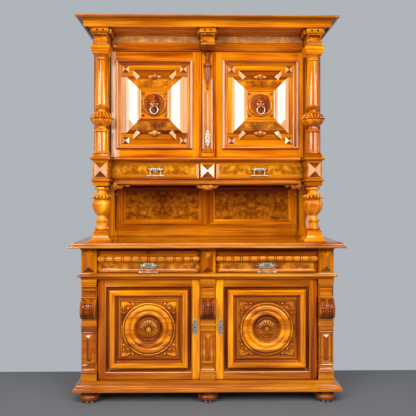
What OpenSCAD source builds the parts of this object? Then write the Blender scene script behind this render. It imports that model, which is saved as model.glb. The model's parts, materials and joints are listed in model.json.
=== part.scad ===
// Two-stage buffet cabinet of about 1880: a base with two doors and two drawers,
// an open niche with vase balusters, and an upper cupboard with columns and a cornice.
// The origin is on the floor under the middle of the whole piece. The front looks along -Y.

/* [Overall] */
// Depth of the whole piece, from the worktop's front edge to the back
depth = 600; // [560:10:680]
// Width of the base over its outer pilasters
base_w = 1590; // [1500:10:1700]
// Width of the upper cupboard over its sides
upper_w = 1494; // [1470:2:1510]
// Overhang of the worktop over the base, in front and at the sides
worktop_over = 65; // [55:1:75]

/* [Heights] */
// Height of the bun feet
foot_h = 78; // [60:1:100]
// Height of the plinth moulding
plinth_h = 58; // [58:1:80]
// Height of the base's door opening
base_open_h = 637; // [600:1:700]
// Height of the waist rail between doors and drawers
waist_h = 37; // [34:1:50]
// Height of the base's drawer opening
base_drawer_h = 140; // [136:1:160]
// Height of the rail under the worktop
top_rail_h = 22; // [18:1:40]
// Thickness of the worktop
worktop_t = 34; // [34:1:44]
// Height of the open niche
niche_h = 361; // [355:1:420]
// Height of the upper cupboard's floor with its moulding
upper_floor_h = 38; // [38:1:48]
// Height of the upper drawer opening
upper_drawer_h = 108; // [104:1:120]
// Height of the rail between upper drawers and upper doors
upper_rail_h = 36; // [36:1:50]
// Height of the upper door opening
upper_open_h = 700; // [690:1:760]
// Height of the frieze
frieze_h = 108; // [108:1:130]
// Height of the cornice
cornice_h = 62; // [62:1:80]

/* [Base] */
// Width of a base pilaster
pilaster_w = 98; // [90:1:110]
// Depth of a base pilaster
pilaster_d = 60; // [50:1:80]
// Overhang of the plinth
plinth_over = 46; // [40:1:55]
// Overhang of the waist rail
waist_over = 19; // [16:1:24]
// Thickness of the case boards
board = 24; // [18:1:28]
// Thickness of the back boards
back_t = 12; // [8:1:16]
// How far the door and drawer faces lie behind the pilasters' faces
face_setback = 12; // [10:1:16]
// Largest radius of a bun foot
foot_r = 64; // [55:1:68]

/* [Doors] */
// Thickness of a door frame
door_t = 24; // [22:1:28]
// Gap around a door
door_gap = 2; // [2:0.5:3]
// Width of a base door's flat stile
base_stile = 58; // [50:1:66]
// Width of a base door's flat rail
base_rail = 52; // [46:1:60]
// Width of a base door's moulding, from the flat frame to the panel
base_mould = 88; // [80:1:96]
// Radius of the turned rondel on a base door
rondel_r = 166; // [140:1:168]
// Depth from a door's face to its pivot axis, and from its edge
pivot_in = 11; // [10:0.5:12]
// Radius of a hinge pivot pin
pivot_r = 4; // [3:0.5:5]
// Thickness of the lock cases behind the doors
lock_t = 14; // [10:1:18]

/* [Upper cupboard] */
// Setback of the upper cupboard's front from the worktop's front edge
upper_setback = 230; // [228:1:260]
// Setback of the column axes from the worktop's front edge
column_setback = 135; // [130:1:137]
// Distance of a column axis from the middle
column_x = 678; // [672:1:690]
// Half width of the square die blocks under the columns
die_hw = 48; // [44:1:50]
// Radius of the column shaft at its foot
shaft_r = 43; // [38:1:46]
// Radius of the gadrooned bulb on a column
bulb_r = 70; // [60:1:71]
// Half width of the upper door opening
upper_open_hw = 642; // [638:1:646]
// Distance of the upper door panels' inner edges from the middle
upper_panel_in = 97; // [90:1:104]
// Width of an upper door's bolection moulding, outside to outside
upper_panel_w = 506; // [480:1:512]
// Height of an upper door's bolection moulding, outside to outside
upper_panel_h = 591; // [560:1:610]
// Width of the bolection moulding itself
bolection_w = 33; // [28:1:38]
// Height of the bolection moulding over the door's face
bolection_rise = 14; // [10:1:14]
// Half width of the astragal, which the left upper door carries
astragal_hw = 50; // [44:1:52]
// Half width of the cornice at its top edge
cornice_hw = 821; // [800:1:850]
// Setback of the cornice's front edge from the worktop's front edge
cornice_setback = 12; // [8:1:30]
// Height of the turned urn at the top of the astragal
urn_h = 214; // [190:1:216]
// Drop of the upper keyhole under the middle of the doors
upper_key_drop = 222; // [200:1:240]

/* [Drawers] */
// Running gap around a drawer front
drawer_gap = 1.5; // [1:0.5:2]
// Thickness of a drawer's sides and back
drawer_side = 12; // [10:1:14]
// Thickness of a drawer's bottom
drawer_floor = 8; // [6:1:10]
// Length of the base drawers' travel
base_travel = 360; // [250:10:370]
// Length of the upper drawers' travel
upper_travel = 240; // [180:10:260]

/* [Brass] */
// Half distance between the base pulls' posts
base_post_x = 38; // [34:1:42]
// Half length of the base pulls' hanging bar
base_bar_x = 54; // [48:1:60]
// Half distance between the upper pulls' posts
upper_post_x = 34; // [30:1:38]
// Half length of the upper pulls' hanging bar
upper_bar_x = 58; // [52:1:62]
// Drop of the hanging bar under the posts
bail_drop = 40; // [34:1:42]
// Radius of the bail's rod
bail_r = 3.5; // [3:0.5:4]
// Radius of the lion ring at the middle of its rod
ring_r = 25; // [22:1:28]
// Radius of the ring's rod
ring_rod = 2.8; // [2.4:0.2:3]

/* [Hidden] */

WALNUT = [0.68, 0.37, 0.12];
DARK_WALNUT = [0.55, 0.27, 0.09];
BURL = [0.60, 0.33, 0.10];
PINE = [0.78, 0.60, 0.38];
BRASS = [0.82, 0.68, 0.38];

// Levels, from the floor up
z_plinth = foot_h;
z_base = z_plinth + plinth_h;
z_waist = z_base + base_open_h;
z_drawer = z_waist + waist_h;
z_top_rail = z_drawer + base_drawer_h;
z_worktop = z_top_rail + top_rail_h;
z_niche = z_worktop + worktop_t;
z_upper = z_niche + niche_h;
z_udrawer = z_upper + upper_floor_h;
z_urail = z_udrawer + upper_drawer_h;
z_udoor = z_urail + upper_rail_h;
z_frieze = z_udoor + upper_open_h;
z_cornice = z_frieze + frieze_h;
z_top = z_cornice + cornice_h;

// Planes from front to back
y_edge = -depth / 2;
y_back = depth / 2;
y_base = y_edge + worktop_over;
y_face = y_base + face_setback;
y_post = y_base + pilaster_d;
y_upper = y_edge + upper_setback;
y_column = y_edge + column_setback;
y_die = y_column - die_hw;
y_udoor = y_upper + 2;
y_cornice = y_edge + cornice_setback;
y_niche = y_back - 50;
y_inside = y_back - back_t;

base_hw = base_w / 2;
upper_hw = upper_w / 2;
pilaster_x = base_hw - pilaster_w / 2;
open_out = base_hw - pilaster_w;
open_in = pilaster_w / 2;
inner_hw = base_hw - 8 - board;
upper_in = upper_hw - board;
die_in = column_x - die_hw;

// Doors: a base door's size, centre and pivot, then an upper door's
door_w = open_out - open_in - 2 * door_gap;
door_x = (open_out + open_in) / 2;
door_z0 = z_base + 3;
door_z1 = z_waist - 3;
door_h = door_z1 - door_z0;
door_zc = (door_z0 + door_z1) / 2;
pivot_x = open_out - door_gap - pivot_in;
pivot_y = y_face + pivot_in;
panel_in_w = door_w - 2 * (base_stile + base_mould);
panel_in_h = door_h - 2 * (base_rail + base_mould);
groove = 12;
rabbet = 10;

udoor_out = upper_open_hw - door_gap;
udoor_left_in = astragal_hw + 2;
udoor_z0 = z_udoor + 2;
udoor_z1 = z_frieze - 3;
udoor_h = udoor_z1 - udoor_z0;
udoor_zc = (udoor_z0 + udoor_z1) / 2;
upivot_x = udoor_out - pivot_in;
upivot_y = y_udoor + pivot_in;
upanel_x = upper_panel_in + upper_panel_w / 2;
field_w = upper_panel_w - 2 * bolection_w;
field_h = upper_panel_h - 2 * bolection_w;
pyramid = min(378, field_w - 56);
square = 188;
pyramid_rise = 12;
medallion_r = 78;
ring_drop = 15;

// Drawers
drawer_x = door_x;
drawer_w = open_out - open_in - 2 * drawer_gap;
drawer_h = base_drawer_h - 2 * drawer_gap;
udrawer_out = die_in - 2;
udrawer_in = 56;
udrawer_x = (udrawer_out + udrawer_in) / 2;
udrawer_w = udrawer_out - udrawer_in;
udrawer_h = upper_drawer_h - 2 * drawer_gap;
front_t = 22;
fit = 0.3;
// What stays in the case when a drawer is fully out
base_stay = 80;
upper_stay = 50;

// Boards and fittings inside
shelf_t = 18;
runner_t = 16;
foot_in_front = 25;
foot_in_back = 75;
plate_t = 3;
pin_h = 15;
key_r = 5;
lock_hh = 45;

// Points of an arc about [cx, cy]
function arc(cx, cy, r, a0, a1, n) =
    [for (i = [0 : n]) let (a = a0 + (a1 - a0) * i / n) [cx + r * cos(a), cy + r * sin(a)]];

// Mirror a list of points about the vertical axis, in reversed order
function mirrored(p) = [for (i = [len(p) - 1 : -1 : 0]) [-p[i][0], p[i][1]]];

module slab(a, b) {
    translate(a) cube(b - a);
}

module along_x(x0, x1) {
    translate([x0, 0, 0]) rotate([90, 0, 90]) linear_extrude(x1 - x0) children();
}

module along_y(y0, y1) {
    translate([0, y1, 0]) rotate([90, 0, 0]) linear_extrude(y1 - y0) children();
}

module along_z(z0, z1) {
    translate([0, 0, z0]) linear_extrude(z1 - z0) children();
}

// A moulding mitred round the front and both sides of a block.
// prof holds [overhang, height] points from the bottom up.
module mitred(prof, hw, yf, yb, z0, over = 120) {
    right = [for (p = prof) [hw + p[0], z0 + p[1]]];
    front = [for (p = prof) [yf - p[0], z0 + p[1]]];
    last = len(prof) - 1;
    intersection() {
        along_y(yf - over, yb) polygon(concat(right, mirrored(right)));
        along_x(-hw - over, hw + over)
            polygon(concat(front, [[yb, z0 + prof[last][1]], [yb, z0 + prof[0][1]]]));
    }
}

// A mass raised from a w by h rectangle on a vertical face. prof holds [inset, t]
// points, with t measured out of the face, towards -Y.
module raised(w, h, prof) {
    a = [for (p = prof) [w / 2 - p[0], -p[1]]];
    b = [for (p = prof) [h / 2 - p[0], -p[1]]];
    t0 = prof[0][1];
    t1 = prof[len(prof) - 1][1];
    intersection() {
        along_z(-h, h) polygon(concat(a, mirrored(a)));
        rotate([0, -90, 0]) along_z(-w, w) polygon(concat(b, mirrored(b)));
    }
}

// An elongated hipped pyramid with a narrow ridge
module hip(w, h, rise) {
    raised(w, h, [[0, -1], [0, 0], [min(w, h) / 2 - 1, rise]]);
}

// A body turned about the vertical axis, from [radius, height] points
module turned(prof) {
    last = len(prof) - 1;
    rotate_extrude($fn = 64)
        polygon(concat([[0, prof[0][1]]], prof, [[0, prof[last][1]]]));
}

// The same about an axis that points out of a vertical face
module turned_out(prof) {
    rotate([90, 0, 0]) turned(prof);
}

module both_sides() {
    children();
    mirror([1, 0, 0]) children();
}

// A square moulding on a block: prof holds [overhang, height] points
module capping(prof, hw, yf, yb, z0) {
    mitred(prof, hw, yf, yb, z0, 40);
}

// Feet, plinth and base carcass

module bun_foot() {
    ring_h = 10;
    bulge = foot_h * 0.42;
    turned(concat(
        [[38, 0], [41, ring_h / 2], [38, ring_h]],
        [for (a = [-60 : 30 : 60])
            [foot_r - 24 + 24 * cos(a), bulge + (bulge - ring_h) * sin(a) / 0.9]],
        [[46, foot_h - 14], [46, foot_h]]));
}

module bun_feet() color(WALNUT) {
    for (x = [-pilaster_x, 0, pilaster_x], y = [y_base + foot_in_front, y_back - foot_in_back])
        translate([x, y, 0]) bun_foot();
}

module pivot_pocket(x, y, z0) {
    slab([x - 30, y - 9, z0], [x + 18, y + 9, z0 + plate_t]);
}

module base_pockets() {
    both_sides() {
        pivot_pocket(pivot_x, pivot_y, z_base - plate_t);
        pivot_pocket(pivot_x, pivot_y, z_waist);
    }
}

module upper_pockets() {
    both_sides() {
        pivot_pocket(upivot_x, upivot_y, z_udoor - plate_t);
        pivot_pocket(upivot_x, upivot_y, z_frieze);
    }
}

module plinth() color(WALNUT) {
    o = plinth_over;
    h = plinth_h;
    prof = concat(
        [[o, 0], [o, 12]],
        arc(o - 2, 34, 20, -90, -170, 4),
        [[o - 22, h - 22], [12, h - 21], [12, h - 11], [5, h - 10], [5, h]]);
    difference() {
        mitred(prof, base_hw, y_base, y_back, z_plinth);
        slab([-inner_hw + 20, y_base + 45, z_plinth - 1], [inner_hw - 20, y_back - 30, z_base + 1]);
        base_pockets();
    }
}

module base_floor() color(WALNUT) {
    slab([-inner_hw + 20, y_base + 45, z_base - 20], [inner_hw - 20, y_back - 30, z_base]);
}

// One side of the base, with a sunk and fielded panel on its outer face
module base_side() {
    y0 = y_post;
    w = y_back - y0;
    h = z_waist - z_base;
    difference() {
        slab([inner_hw, y0, z_base], [inner_hw + board, y_back, z_waist]);
        translate([inner_hw + board, y0 + w / 2, z_base + h / 2]) rotate([0, 0, 90])
            raised(w - 130, h - 130, [[14, -9], [0, 0], [0, 2]]);
    }
    translate([inner_hw + board - 9, y0 + w / 2, z_base + h / 2]) rotate([0, 0, 90])
        raised(w - 190, h - 190, [[0, -1], [0, 0], [22, 7]]);
}

module base_boards() color(WALNUT) {
    both_sides() {
        base_side();
        slab([inner_hw, y_post, z_drawer], [inner_hw + board, y_back, z_worktop]);
    }
    slab([-board / 2, y_post, z_base], [board / 2, y_inside, z_waist]);
    slab([-board / 2, y_post, z_drawer], [board / 2, y_inside, z_worktop]);
}

module back_boards() color(DARK_WALNUT) {
    slab([-inner_hw, y_inside, z_base], [inner_hw, y_back, z_worktop]);
    slab([-upper_in, y_inside, z_upper], [upper_in, y_back, z_cornice]);
}

// Front profile of a pilaster, as [projection, height] points from the bottom up
function pilaster_front(h) = concat(
    [[0, 0], [0, h * 0.075], [4, h * 0.085], [4, h * 0.10], [-4, h * 0.125]],
    [[-6, h * 0.16], [-6, h * 0.485], [-2, h * 0.50], [6, h * 0.52], [6, h * 0.545]],
    [[2, h * 0.56], [2, h * 0.60], [14, h * 0.615]],
    arc(22, h * 0.665, 18, -90, 90, 6),
    [[26, h * 0.70], [18, h * 0.76], [16, h * 0.815]],
    [[8, h * 0.825], [8, h * 0.85], [3, h * 0.86], [3, h * 0.885], [0, h * 0.895]],
    [[0, h * 0.92], [5, h * 0.935], [5, h * 0.955], [0, h * 0.965], [0, h]]);

module base_pilaster() {
    h = z_waist - z_base;
    front = [for (p = pilaster_front(h)) [y_base - p[0], z_base + p[1]]];
    along_x(-pilaster_w / 2, pilaster_w / 2)
        polygon(concat(front, [[y_post, z_waist], [y_post, z_base]]));
    translate([0, y_base + 6, z_base + h * 0.322]) hip(pilaster_w - 34, h * 0.29, 12);
}

module base_pilasters() color(WALNUT) {
    for (x = [-pilaster_x, 0, pilaster_x]) translate([x, 0, 0]) base_pilaster();
}

module waist_rail() color(WALNUT) {
    o = waist_over;
    h = waist_h;
    prof = concat(
        [[2, 0], [2, h - 30], [o - 8, h - 28]],
        arc(o - 9, h - 16, 9, -70, 70, 4),
        [[o - 10, h - 5], [4, h - 4], [4, h]]);
    difference() {
        mitred(prof, base_hw, y_base, y_back, z_waist);
        both_sides()
            slab([board / 2, y_post, z_waist - 1], [inner_hw, y_back + 1, z_drawer + 1]);
        slab([-board, y_inside, z_waist - 1], [board, y_back + 1, z_drawer + 1]);
        base_pockets();
    }
}

module base_dies() color(WALNUT) {
    die_h = z_worktop - z_drawer;
    for (x = [-pilaster_x, 0, pilaster_x]) translate([x, 0, 0]) {
        slab([-pilaster_w / 2, y_base, z_drawer], [pilaster_w / 2, y_post, z_worktop]);
        translate([0, y_base, z_drawer + die_h / 2 - 4]) hip(pilaster_w - 30, die_h - 36, 18);
    }
    both_sides()
        slab([open_in, y_face - 4, z_top_rail], [open_out, y_post, z_worktop]);
}

module drawer_runners() color(PINE) {
    both_sides() {
        // Base runners, on the middle partition and on the side
        slab([board / 2, y_post, z_drawer - runner_t], [open_in + 30, y_inside, z_drawer + 1]);
        slab([open_out - 30, y_post, z_drawer - runner_t], [inner_hw, y_inside, z_drawer + 1]);
        // Upper runners, on the cupboard's floor
        slab([udrawer_in - 20, y_upper + 30, z_udrawer], [udrawer_in + 30, y_inside, z_udrawer + 1]);
        slab([udrawer_out - 30, y_upper + 30, z_udrawer], [upper_in, y_inside, z_udrawer + 1]);
    }
}

module shelves() color(WALNUT) {
    zb = (z_base + z_waist) / 2;
    both_sides()
        slab([board / 2, y_post + 10, zb], [inner_hw, y_inside, zb + shelf_t]);
    for (k = [1, 2])
        slab([-upper_in, y_upper + 60, z_udoor + upper_open_h * k / 3],
            [upper_in, y_inside, z_udoor + upper_open_h * k / 3 + shelf_t]);
}

module worktop() color(WALNUT) {
    o = worktop_over;
    h = worktop_t;
    prof = concat(
        [[o - 8, 0]],
        arc(o - 7, 7, 7, -60, 60, 4),
        [[o - 12, h - 19], [o - 15, h - 18]],
        arc(o - 30, h - 14, 14, 0, 90, 4));
    mitred(prof, base_hw, y_base, y_back, z_worktop);
}

// Niche

niche_hw = column_x - 23;

module niche_back() color(WALNUT) {
    base_h = 40;
    top_h = 30;
    stile = 40;
    mid = 22;
    pw = niche_hw - stile - mid;
    pz0 = z_niche + 85;
    pz1 = z_upper - top_h;
    difference() {
        slab([-niche_hw, y_niche, z_niche], [niche_hw, y_niche + 26, z_upper]);
        both_sides()
            translate([mid + pw / 2, y_niche, (pz0 + pz1) / 2])
                raised(pw, pz1 - pz0, [[34, -14], [26, -12], [8, -2], [0, 0], [0, 2]]);
    }
    prof = [[34, 0], [34, 14], [26, 18], [20, 26], [8, 34], [8, base_h]];
    front = [for (p = prof) [y_niche - p[0], z_niche + p[1]]];
    along_x(-niche_hw + 16, niche_hw - 16)
        polygon(concat(front, [[y_niche + 1, z_niche + base_h], [y_niche + 1, z_niche]]));
}

module niche_wing() {
    x0 = niche_hw + 3;
    x1 = upper_hw - 8;
    h = niche_h;
    outline = concat(
        [[x0 - 16, 0], [x1 - 8, 0], [x1 - 8, 26], [x1 - 20, 40]],
        [[x1 - 30, h * 0.3], [x1 - 12, h * 0.45], [x1 - 4, h * 0.7], [x1, h * 0.9], [x1, h]],
        [[x0, h], [x0, 48], [x0 - 12, 30], [x0 - 18, 14]]);
    along_y(y_niche - 20, y_niche)
        polygon([for (p = outline) [p[0], z_niche + p[1]]]);
}

module niche_wings() color(WALNUT) {
    both_sides() niche_wing();
}

// The heights of the turned profile are parts of the niche's height
module vase_baluster() {
    k = z_upper - z_niche;
    base = [[22, 0], [22, k * 0.035], [14, k * 0.06], [8, k * 0.085],
        [2, k * 0.105], [0, k * 0.11], [0, k * 0.2]];
    translate([column_x, y_column, 0]) {
        capping(base, die_hw, -die_hw, die_hw + 1, z_niche);
        translate([0, 0, z_niche]) turned(concat(
            [[40, k * 0.2], [40, k * 0.212]],
            arc(33, k * 0.245, 12, -60, 60, 4),
            [[29, k * 0.285], [28, k * 0.30], [28, k * 0.35]],
            arc(29, k * 0.375, 6, -80, 80, 3),
            [[30, k * 0.41], [32, k * 0.45], [31, k * 0.475]],
            [[44, k * 0.51], [56, k * 0.57], [62, k * 0.635], [61, k * 0.68], [52, k * 0.73]],
            [[50, k * 0.74]],
            arc(51, k * 0.784, 15, -80, 80, 4),
            [[40, k * 0.84], [31, k * 0.86], [31, k * 0.905]],
            arc(36, k * 0.945, 7.5, -80, 80, 3),
            [[34, k * 0.97], [34, k - 8]]));
    }
}

module vase_balusters() color(WALNUT) {
    both_sides() vase_baluster();
}

// Upper cupboard

module corner_die() {
    z0 = z_upper - 8;
    translate([column_x, 0, 0]) {
        slab([-die_hw, y_die, z0], [die_hw, y_die + 2 * die_hw, z_udrawer - 17]);
        slab([-die_hw, y_die, z_upper], [die_hw, y_upper, z_udrawer - 17]);
        capping([[8, 0], [12, 4], [12, 12], [4, 15], [0, 16]], die_hw, y_die, y_upper,
            z_udrawer - 17);
        slab([-die_hw, y_die, z_udrawer - 1], [die_hw, y_upper, z_urail + 7]);
        translate([0, y_die, (z_udrawer + z_urail) / 2 + 3])
            hip(2 * die_hw - 22, upper_drawer_h - 16, 16);
        capping([[0, 0], [8, 4], [17, 9], [17, 17], [12, 20], [0, 21]], die_hw, y_die, y_upper,
            z_urail + 7);
        slab([-die_hw, y_die, z_urail + 28], [die_hw, y_die + 2 * die_hw, z_urail + 49]);
    }
}

module corner_dies() color(WALNUT) {
    both_sides() corner_die();
}

module column() {
    z0 = z_urail + 49;
    z1 = z_frieze - 55;
    h = z1 - z0;
    r = shaft_r;
    translate([column_x, y_column, 0]) {
        translate([0, 0, z0]) turned(concat(
            [[r + 3, 0]],
            arc(r + 1, 9, 7, -60, 60, 3),
            [[r + 1, 20], [r, 24], [r, h * 0.212]],
            [[r - 2, h * 0.217]],
            arc(r - 4, h * 0.235, 8, -70, 70, 3),
            [[r - 12, h * 0.262], [r - 14, h * 0.275]],
            [[bulb_r * 0.62, h * 0.285], [bulb_r * 0.86, h * 0.315], [bulb_r * 0.96, h * 0.34]],
            [[bulb_r, h * 0.365], [bulb_r * 0.97, h * 0.385], [bulb_r * 0.8, h * 0.405]],
            [[bulb_r * 0.6, h * 0.415], [r - 20, h * 0.43], [r - 20, h * 0.445]],
            [[r - 12, h * 0.46], [r, h * 0.475], [r + 1, h * 0.485], [r - 1, h * 0.492]],
            [[r - 7, h - 38], [r - 6, h - 26], [r + 1, h - 14], [r + 3, h - 6], [r + 3, h]]));
        capping([[0, 0], [2, 3], [9, 16], [9, 20], [6, 22], [6, 28], [11, 32], [11, 55]],
            die_hw, -die_hw, die_hw, z1);
    }
}

module columns() color(WALNUT) {
    both_sides() column();
}

module upper_floor() color(WALNUT) {
    prof = [[14, 0], [28, 5], [30, 9], [28, 14], [18, 18], [12, 24], [4, 28], [4, 36], [0, 38]];
    k = upper_floor_h / 38;
    front = [for (p = prof) [y_upper - p[0], z_upper + p[1] * k]];
    slab([-upper_in, y_upper, z_upper], [upper_in, y_inside, z_udrawer]);
    along_x(-die_in + 14, die_in - 14)
        polygon(concat(front, [[y_upper, z_udrawer], [y_upper, z_upper]]));
}

module upper_rail() color(WALNUT) {
    prof = [[0, 0], [4, 2], [10, 6], [14, 13], [22, 15], [26, 20], [26, 28], [20, 32], [10, 36]];
    k = upper_rail_h / 36;
    front = [for (p = prof) [y_upper - p[0], z_urail + p[1] * k]];
    difference() {
        union() {
            slab([-upper_in, y_upper, z_udoor - 20], [upper_in, y_inside, z_udoor]);
            slab([-upper_in, y_upper, z_urail], [upper_in, y_upper + board, z_udoor]);
            along_x(-die_in + 18, die_in - 18)
                polygon(concat(front, [[y_upper, z_udoor], [y_upper, z_urail]]));
        }
        upper_pockets();
    }
    // The die block and the board between the two upper drawers
    slab([-udrawer_in + 2, y_upper, z_udrawer], [udrawer_in - 2, y_upper + board, z_urail]);
    slab([-board / 2, y_upper + board, z_udrawer], [board / 2, y_inside, z_udoor - 20]);
    translate([0, y_upper, (z_udrawer + z_urail) / 2])
        raised(2 * udrawer_in - 6, upper_drawer_h - 2, [[0, -1], [0, 2], [8, 12]]);
    translate([0, y_upper - 12, (z_udrawer + z_urail) / 2])
        hip(2 * udrawer_in - 34, upper_drawer_h - 30, 16);
}

module apron() color(WALNUT) {
    y1 = y_upper - 4;
    z = z_upper;
    along_y(y1 - 14, y1) {
        // The swag in the middle
        polygon(concat([[-72, z], [-60, z - 14], [-40, z - 18]],
            arc(0, z - 14, 24, 200, 340, 6), [[40, z - 18], [60, z - 14], [72, z]]));
        // A scroll with its leaf at each corner
        for (s = [-1, 1]) {
            difference() {
                translate([s * (die_in - 18), z - 17]) circle(r = 20, $fn = 32);
                translate([-die_in, z]) square([2 * die_in, 10]);
            }
            polygon([[s * (die_in - 18), z], [s * (die_in - 18), z - 30],
                [s * (die_in - 50), z - 22], [s * (die_in - 66), z - 8], [s * (die_in - 70), z]]);
            polygon([[s * (die_in - 98), z], [s * (die_in - 106), z - 16],
                [s * (die_in - 114), z]]);
        }
    }
}

module upper_sides() color(WALNUT) {
    both_sides() {
        w = y_back - y_upper;
        h = z_cornice - z_upper;
        difference() {
            slab([upper_in, y_upper, z_upper], [upper_hw, y_back, z_cornice]);
            translate([upper_hw, y_upper + w / 2, z_udoor + upper_open_h / 2])
                rotate([0, 0, 90])
                    raised(w - 120, upper_open_h - 90, [[14, -9], [0, 0], [0, 2]]);
        }
        translate([upper_hw - 9, y_upper + w / 2, z_udoor + upper_open_h / 2])
            rotate([0, 0, 90])
                raised(w - 180, upper_open_h - 150, [[0, -1], [0, 0], [22, 7]]);
        slab([upper_open_hw, y_upper, z_udoor], [upper_in, y_upper + board, z_frieze]);
    }
}

module frieze() color(WALNUT) {
    k = frieze_h / 108;
    prof = [[4, 0], [14, 6], [22, 16], [24, 28], [16, 32], [14, 44], [10, 46], [6, 50],
        [6, 56], [4, 58], [4, 92], [8, 96], [12, 98], [22, 104], [24, 108]];
    front = [for (p = prof) [y_upper - p[0], z_frieze + p[1] * k]];
    difference() {
        slab([-upper_in, y_upper, z_frieze], [upper_in, y_upper + board, z_cornice]);
        upper_pockets();
    }
    both_sides()
        along_x(die_hw, die_in)
            polygon(concat(front, [[y_upper, z_cornice], [y_upper, z_frieze]]));
}

// Front profile of a corbel, as [projection, height] points
function corbel_front(h) = concat(
    [[0, 0], [0, h * 0.16], [5, h * 0.18]],
    arc(4, h * 0.24, 5, -90, 90, 3),
    [[1, h * 0.3], [-5, h * 0.42], [-5, h * 0.56], [2, h * 0.68], [12, h * 0.74]],
    [[16, h * 0.76], [18, h * 0.8], [18, h * 0.98], [14, h]]);

module corbel(hw, y0, y1) {
    front = [for (p = corbel_front(frieze_h)) [y0 - p[0], z_frieze + p[1]]];
    along_x(-hw, hw) polygon(concat(front, [[y1, z_cornice], [y1, z_frieze]]));
}

module frieze_corbels() color(WALNUT) {
    both_sides() translate([column_x, 0, 0]) corbel(die_hw, y_die, y_upper);
    corbel(die_hw, y_die, y_upper);
}

module cornice() color(WALNUT) {
    h = cornice_h;
    prof = concat(
        [[-49, 0], [-48, 8], [-42, 12], [-42, h - 22], [-34, h - 21], [-33, h - 17]],
        arc(-33, h - 10, 7, -30, 30, 2),
        [[-17, h - 15], [-15, h - 12], [-4, h - 9], [0, h - 9], [0, h]]);
    difference() {
        mitred(prof, cornice_hw, y_cornice, y_back, z_cornice);
        slab([-upper_in + 12, y_upper + 12, z_cornice - 1], [upper_in - 12, y_back - 20, z_top - 14]);
    }
}

// The fixed plate of a pivot hinge with its pin, which points up or down
module hinge_plate_fixed(x, y, z0, up) {
    pivot_pocket(x, y, z0);
    translate([x, y, up > 0 ? z0 : z0 + plate_t - pin_h])
        cylinder(r = pivot_r, h = pin_h, $fn = 32);
}

module base_hinge_plates() color(BRASS) {
    both_sides() {
        hinge_plate_fixed(pivot_x, pivot_y, z_base - plate_t, 1);
        hinge_plate_fixed(pivot_x, pivot_y, z_waist, -1);
    }
}

module upper_hinge_plates() color(BRASS) {
    both_sides() {
        hinge_plate_fixed(upivot_x, upivot_y, z_udoor - plate_t, 1);
        hinge_plate_fixed(upivot_x, upivot_y, z_frieze, -1);
    }
}

// Base doors, drawn for the right side and mirrored for the left

key_x = open_in + door_gap + base_stile / 2;
key_z = door_zc + 13;

// The moving plate at a door's lower or upper edge
module pivot_plate(x, y, z0) {
    difference() {
        slab([x - 34, y - 8, z0], [x + 4, y + 8, z0 + plate_t]);
        translate([x, y, z0 - 1]) cylinder(r = pivot_r + 0.25, h = plate_t + 2, $fn = 32);
    }
}

// What a door loses for its pivots: pockets, pin bores and a rounded edge
module pivot_cuts(x, y, z0, z1) {
    slab([x - 34, y - 8, z0 - 1], [x + 4, y + 8, z0 + plate_t]);
    slab([x - 34, y - 8, z1 - plate_t], [x + 4, y + 8, z1 + 1]);
    translate([x, y, z0 - 1]) cylinder(r = pivot_r + 1, h = pin_h - 2, $fn = 32);
    translate([x, y, z1 + 3 - pin_h]) cylinder(r = pivot_r + 1, h = pin_h - 2, $fn = 32);
    difference() {
        slab([x, y - pivot_in - 1, z0 - 1], [x + pivot_in + 1, y, z1 + 1]);
        translate([x, y, z0 - 2]) cylinder(r = pivot_in, h = z1 - z0 + 4, $fn = 64);
    }
}

module base_door_frame() {
    w = door_w - 2 * base_stile;
    h = door_h - 2 * base_rail;
    m = base_mould;
    difference() {
        translate([door_x, y_face, door_zc]) difference() {
            union() {
                difference() {
                    slab([-door_w / 2, 0, -door_h / 2], [door_w / 2, door_t, door_h / 2]);
                    raised(w, h, [[24, -9], [0, 0], [0, 1]]);
                }
                raised(w, h, [[24, -12], [24, -9], [48, 5]]);
            }
            raised(w, h, [[m - 4, -door_t - 1], [m - 4, -groove + 1], [52, 5], [51, 6]]);
            raised(panel_in_w + 2 * rabbet, panel_in_h + 2 * rabbet,
                [[0, -door_t - 1], [0, -groove]]);
        }
        pivot_cuts(pivot_x, pivot_y, door_z0, door_z1);
        translate([key_x, y_face - 1, key_z]) rotate([-90, 0, 0])
            cylinder(r = key_r, h = door_t + 2, $fn = 32);
    }
}

module base_door_panel() {
    translate([door_x, y_face, door_zc]) difference() {
        raised(panel_in_w + 2 * rabbet, panel_in_h + 2 * rabbet, [[0, -22], [0, -groove]]);
        translate([0, 7, 0]) turned_out([[rondel_r - 40, 0], [rondel_r - 40, 6]]);
    }
}

module base_rondel() {
    r = rondel_r;
    translate([door_x, y_face + groove, door_zc]) turned_out(concat(
        [[r, 0], [r, 5], [r - 3, 9]],
        [[r - 10, 12], [r - 16, 10], [r - 18, 6], [r - 24, 5]],
        [[r - 30, 9], [r - 44, 15], [r - 62, 17], [r - 76, 14], [r - 82, 8]],
        [[r - 88, 6], [r - 92, 9], [r - 98, 11], [r - 104, 9], [r - 107, 6]],
        [[54, 7], [44, 12], [30, 14], [22, 13], [16, 17], [6, 20]]));
}

module base_door_fittings() {
    plate_w = 34;
    plate_h = 116;
    difference() {
        slab([key_x - plate_w / 2, y_face - 2, key_z - plate_h / 2],
            [key_x + plate_w / 2, y_face, key_z + plate_h / 2]);
        translate([key_x, y_face - 3, key_z]) rotate([-90, 0, 0])
            cylinder(r = 4, h = 4, $fn = 32);
    }
    difference() {
        slab([key_x - 24, y_face + door_t, key_z - lock_hh],
            [key_x + 40, y_face + door_t + lock_t, key_z + lock_hh]);
        translate([key_x, y_face + door_t - 1, key_z]) rotate([-90, 0, 0])
            cylinder(r = key_r, h = 9, $fn = 32);
    }
    pivot_plate(pivot_x, pivot_y, door_z0);
    pivot_plate(pivot_x, pivot_y, door_z1 - plate_t);
}

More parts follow.
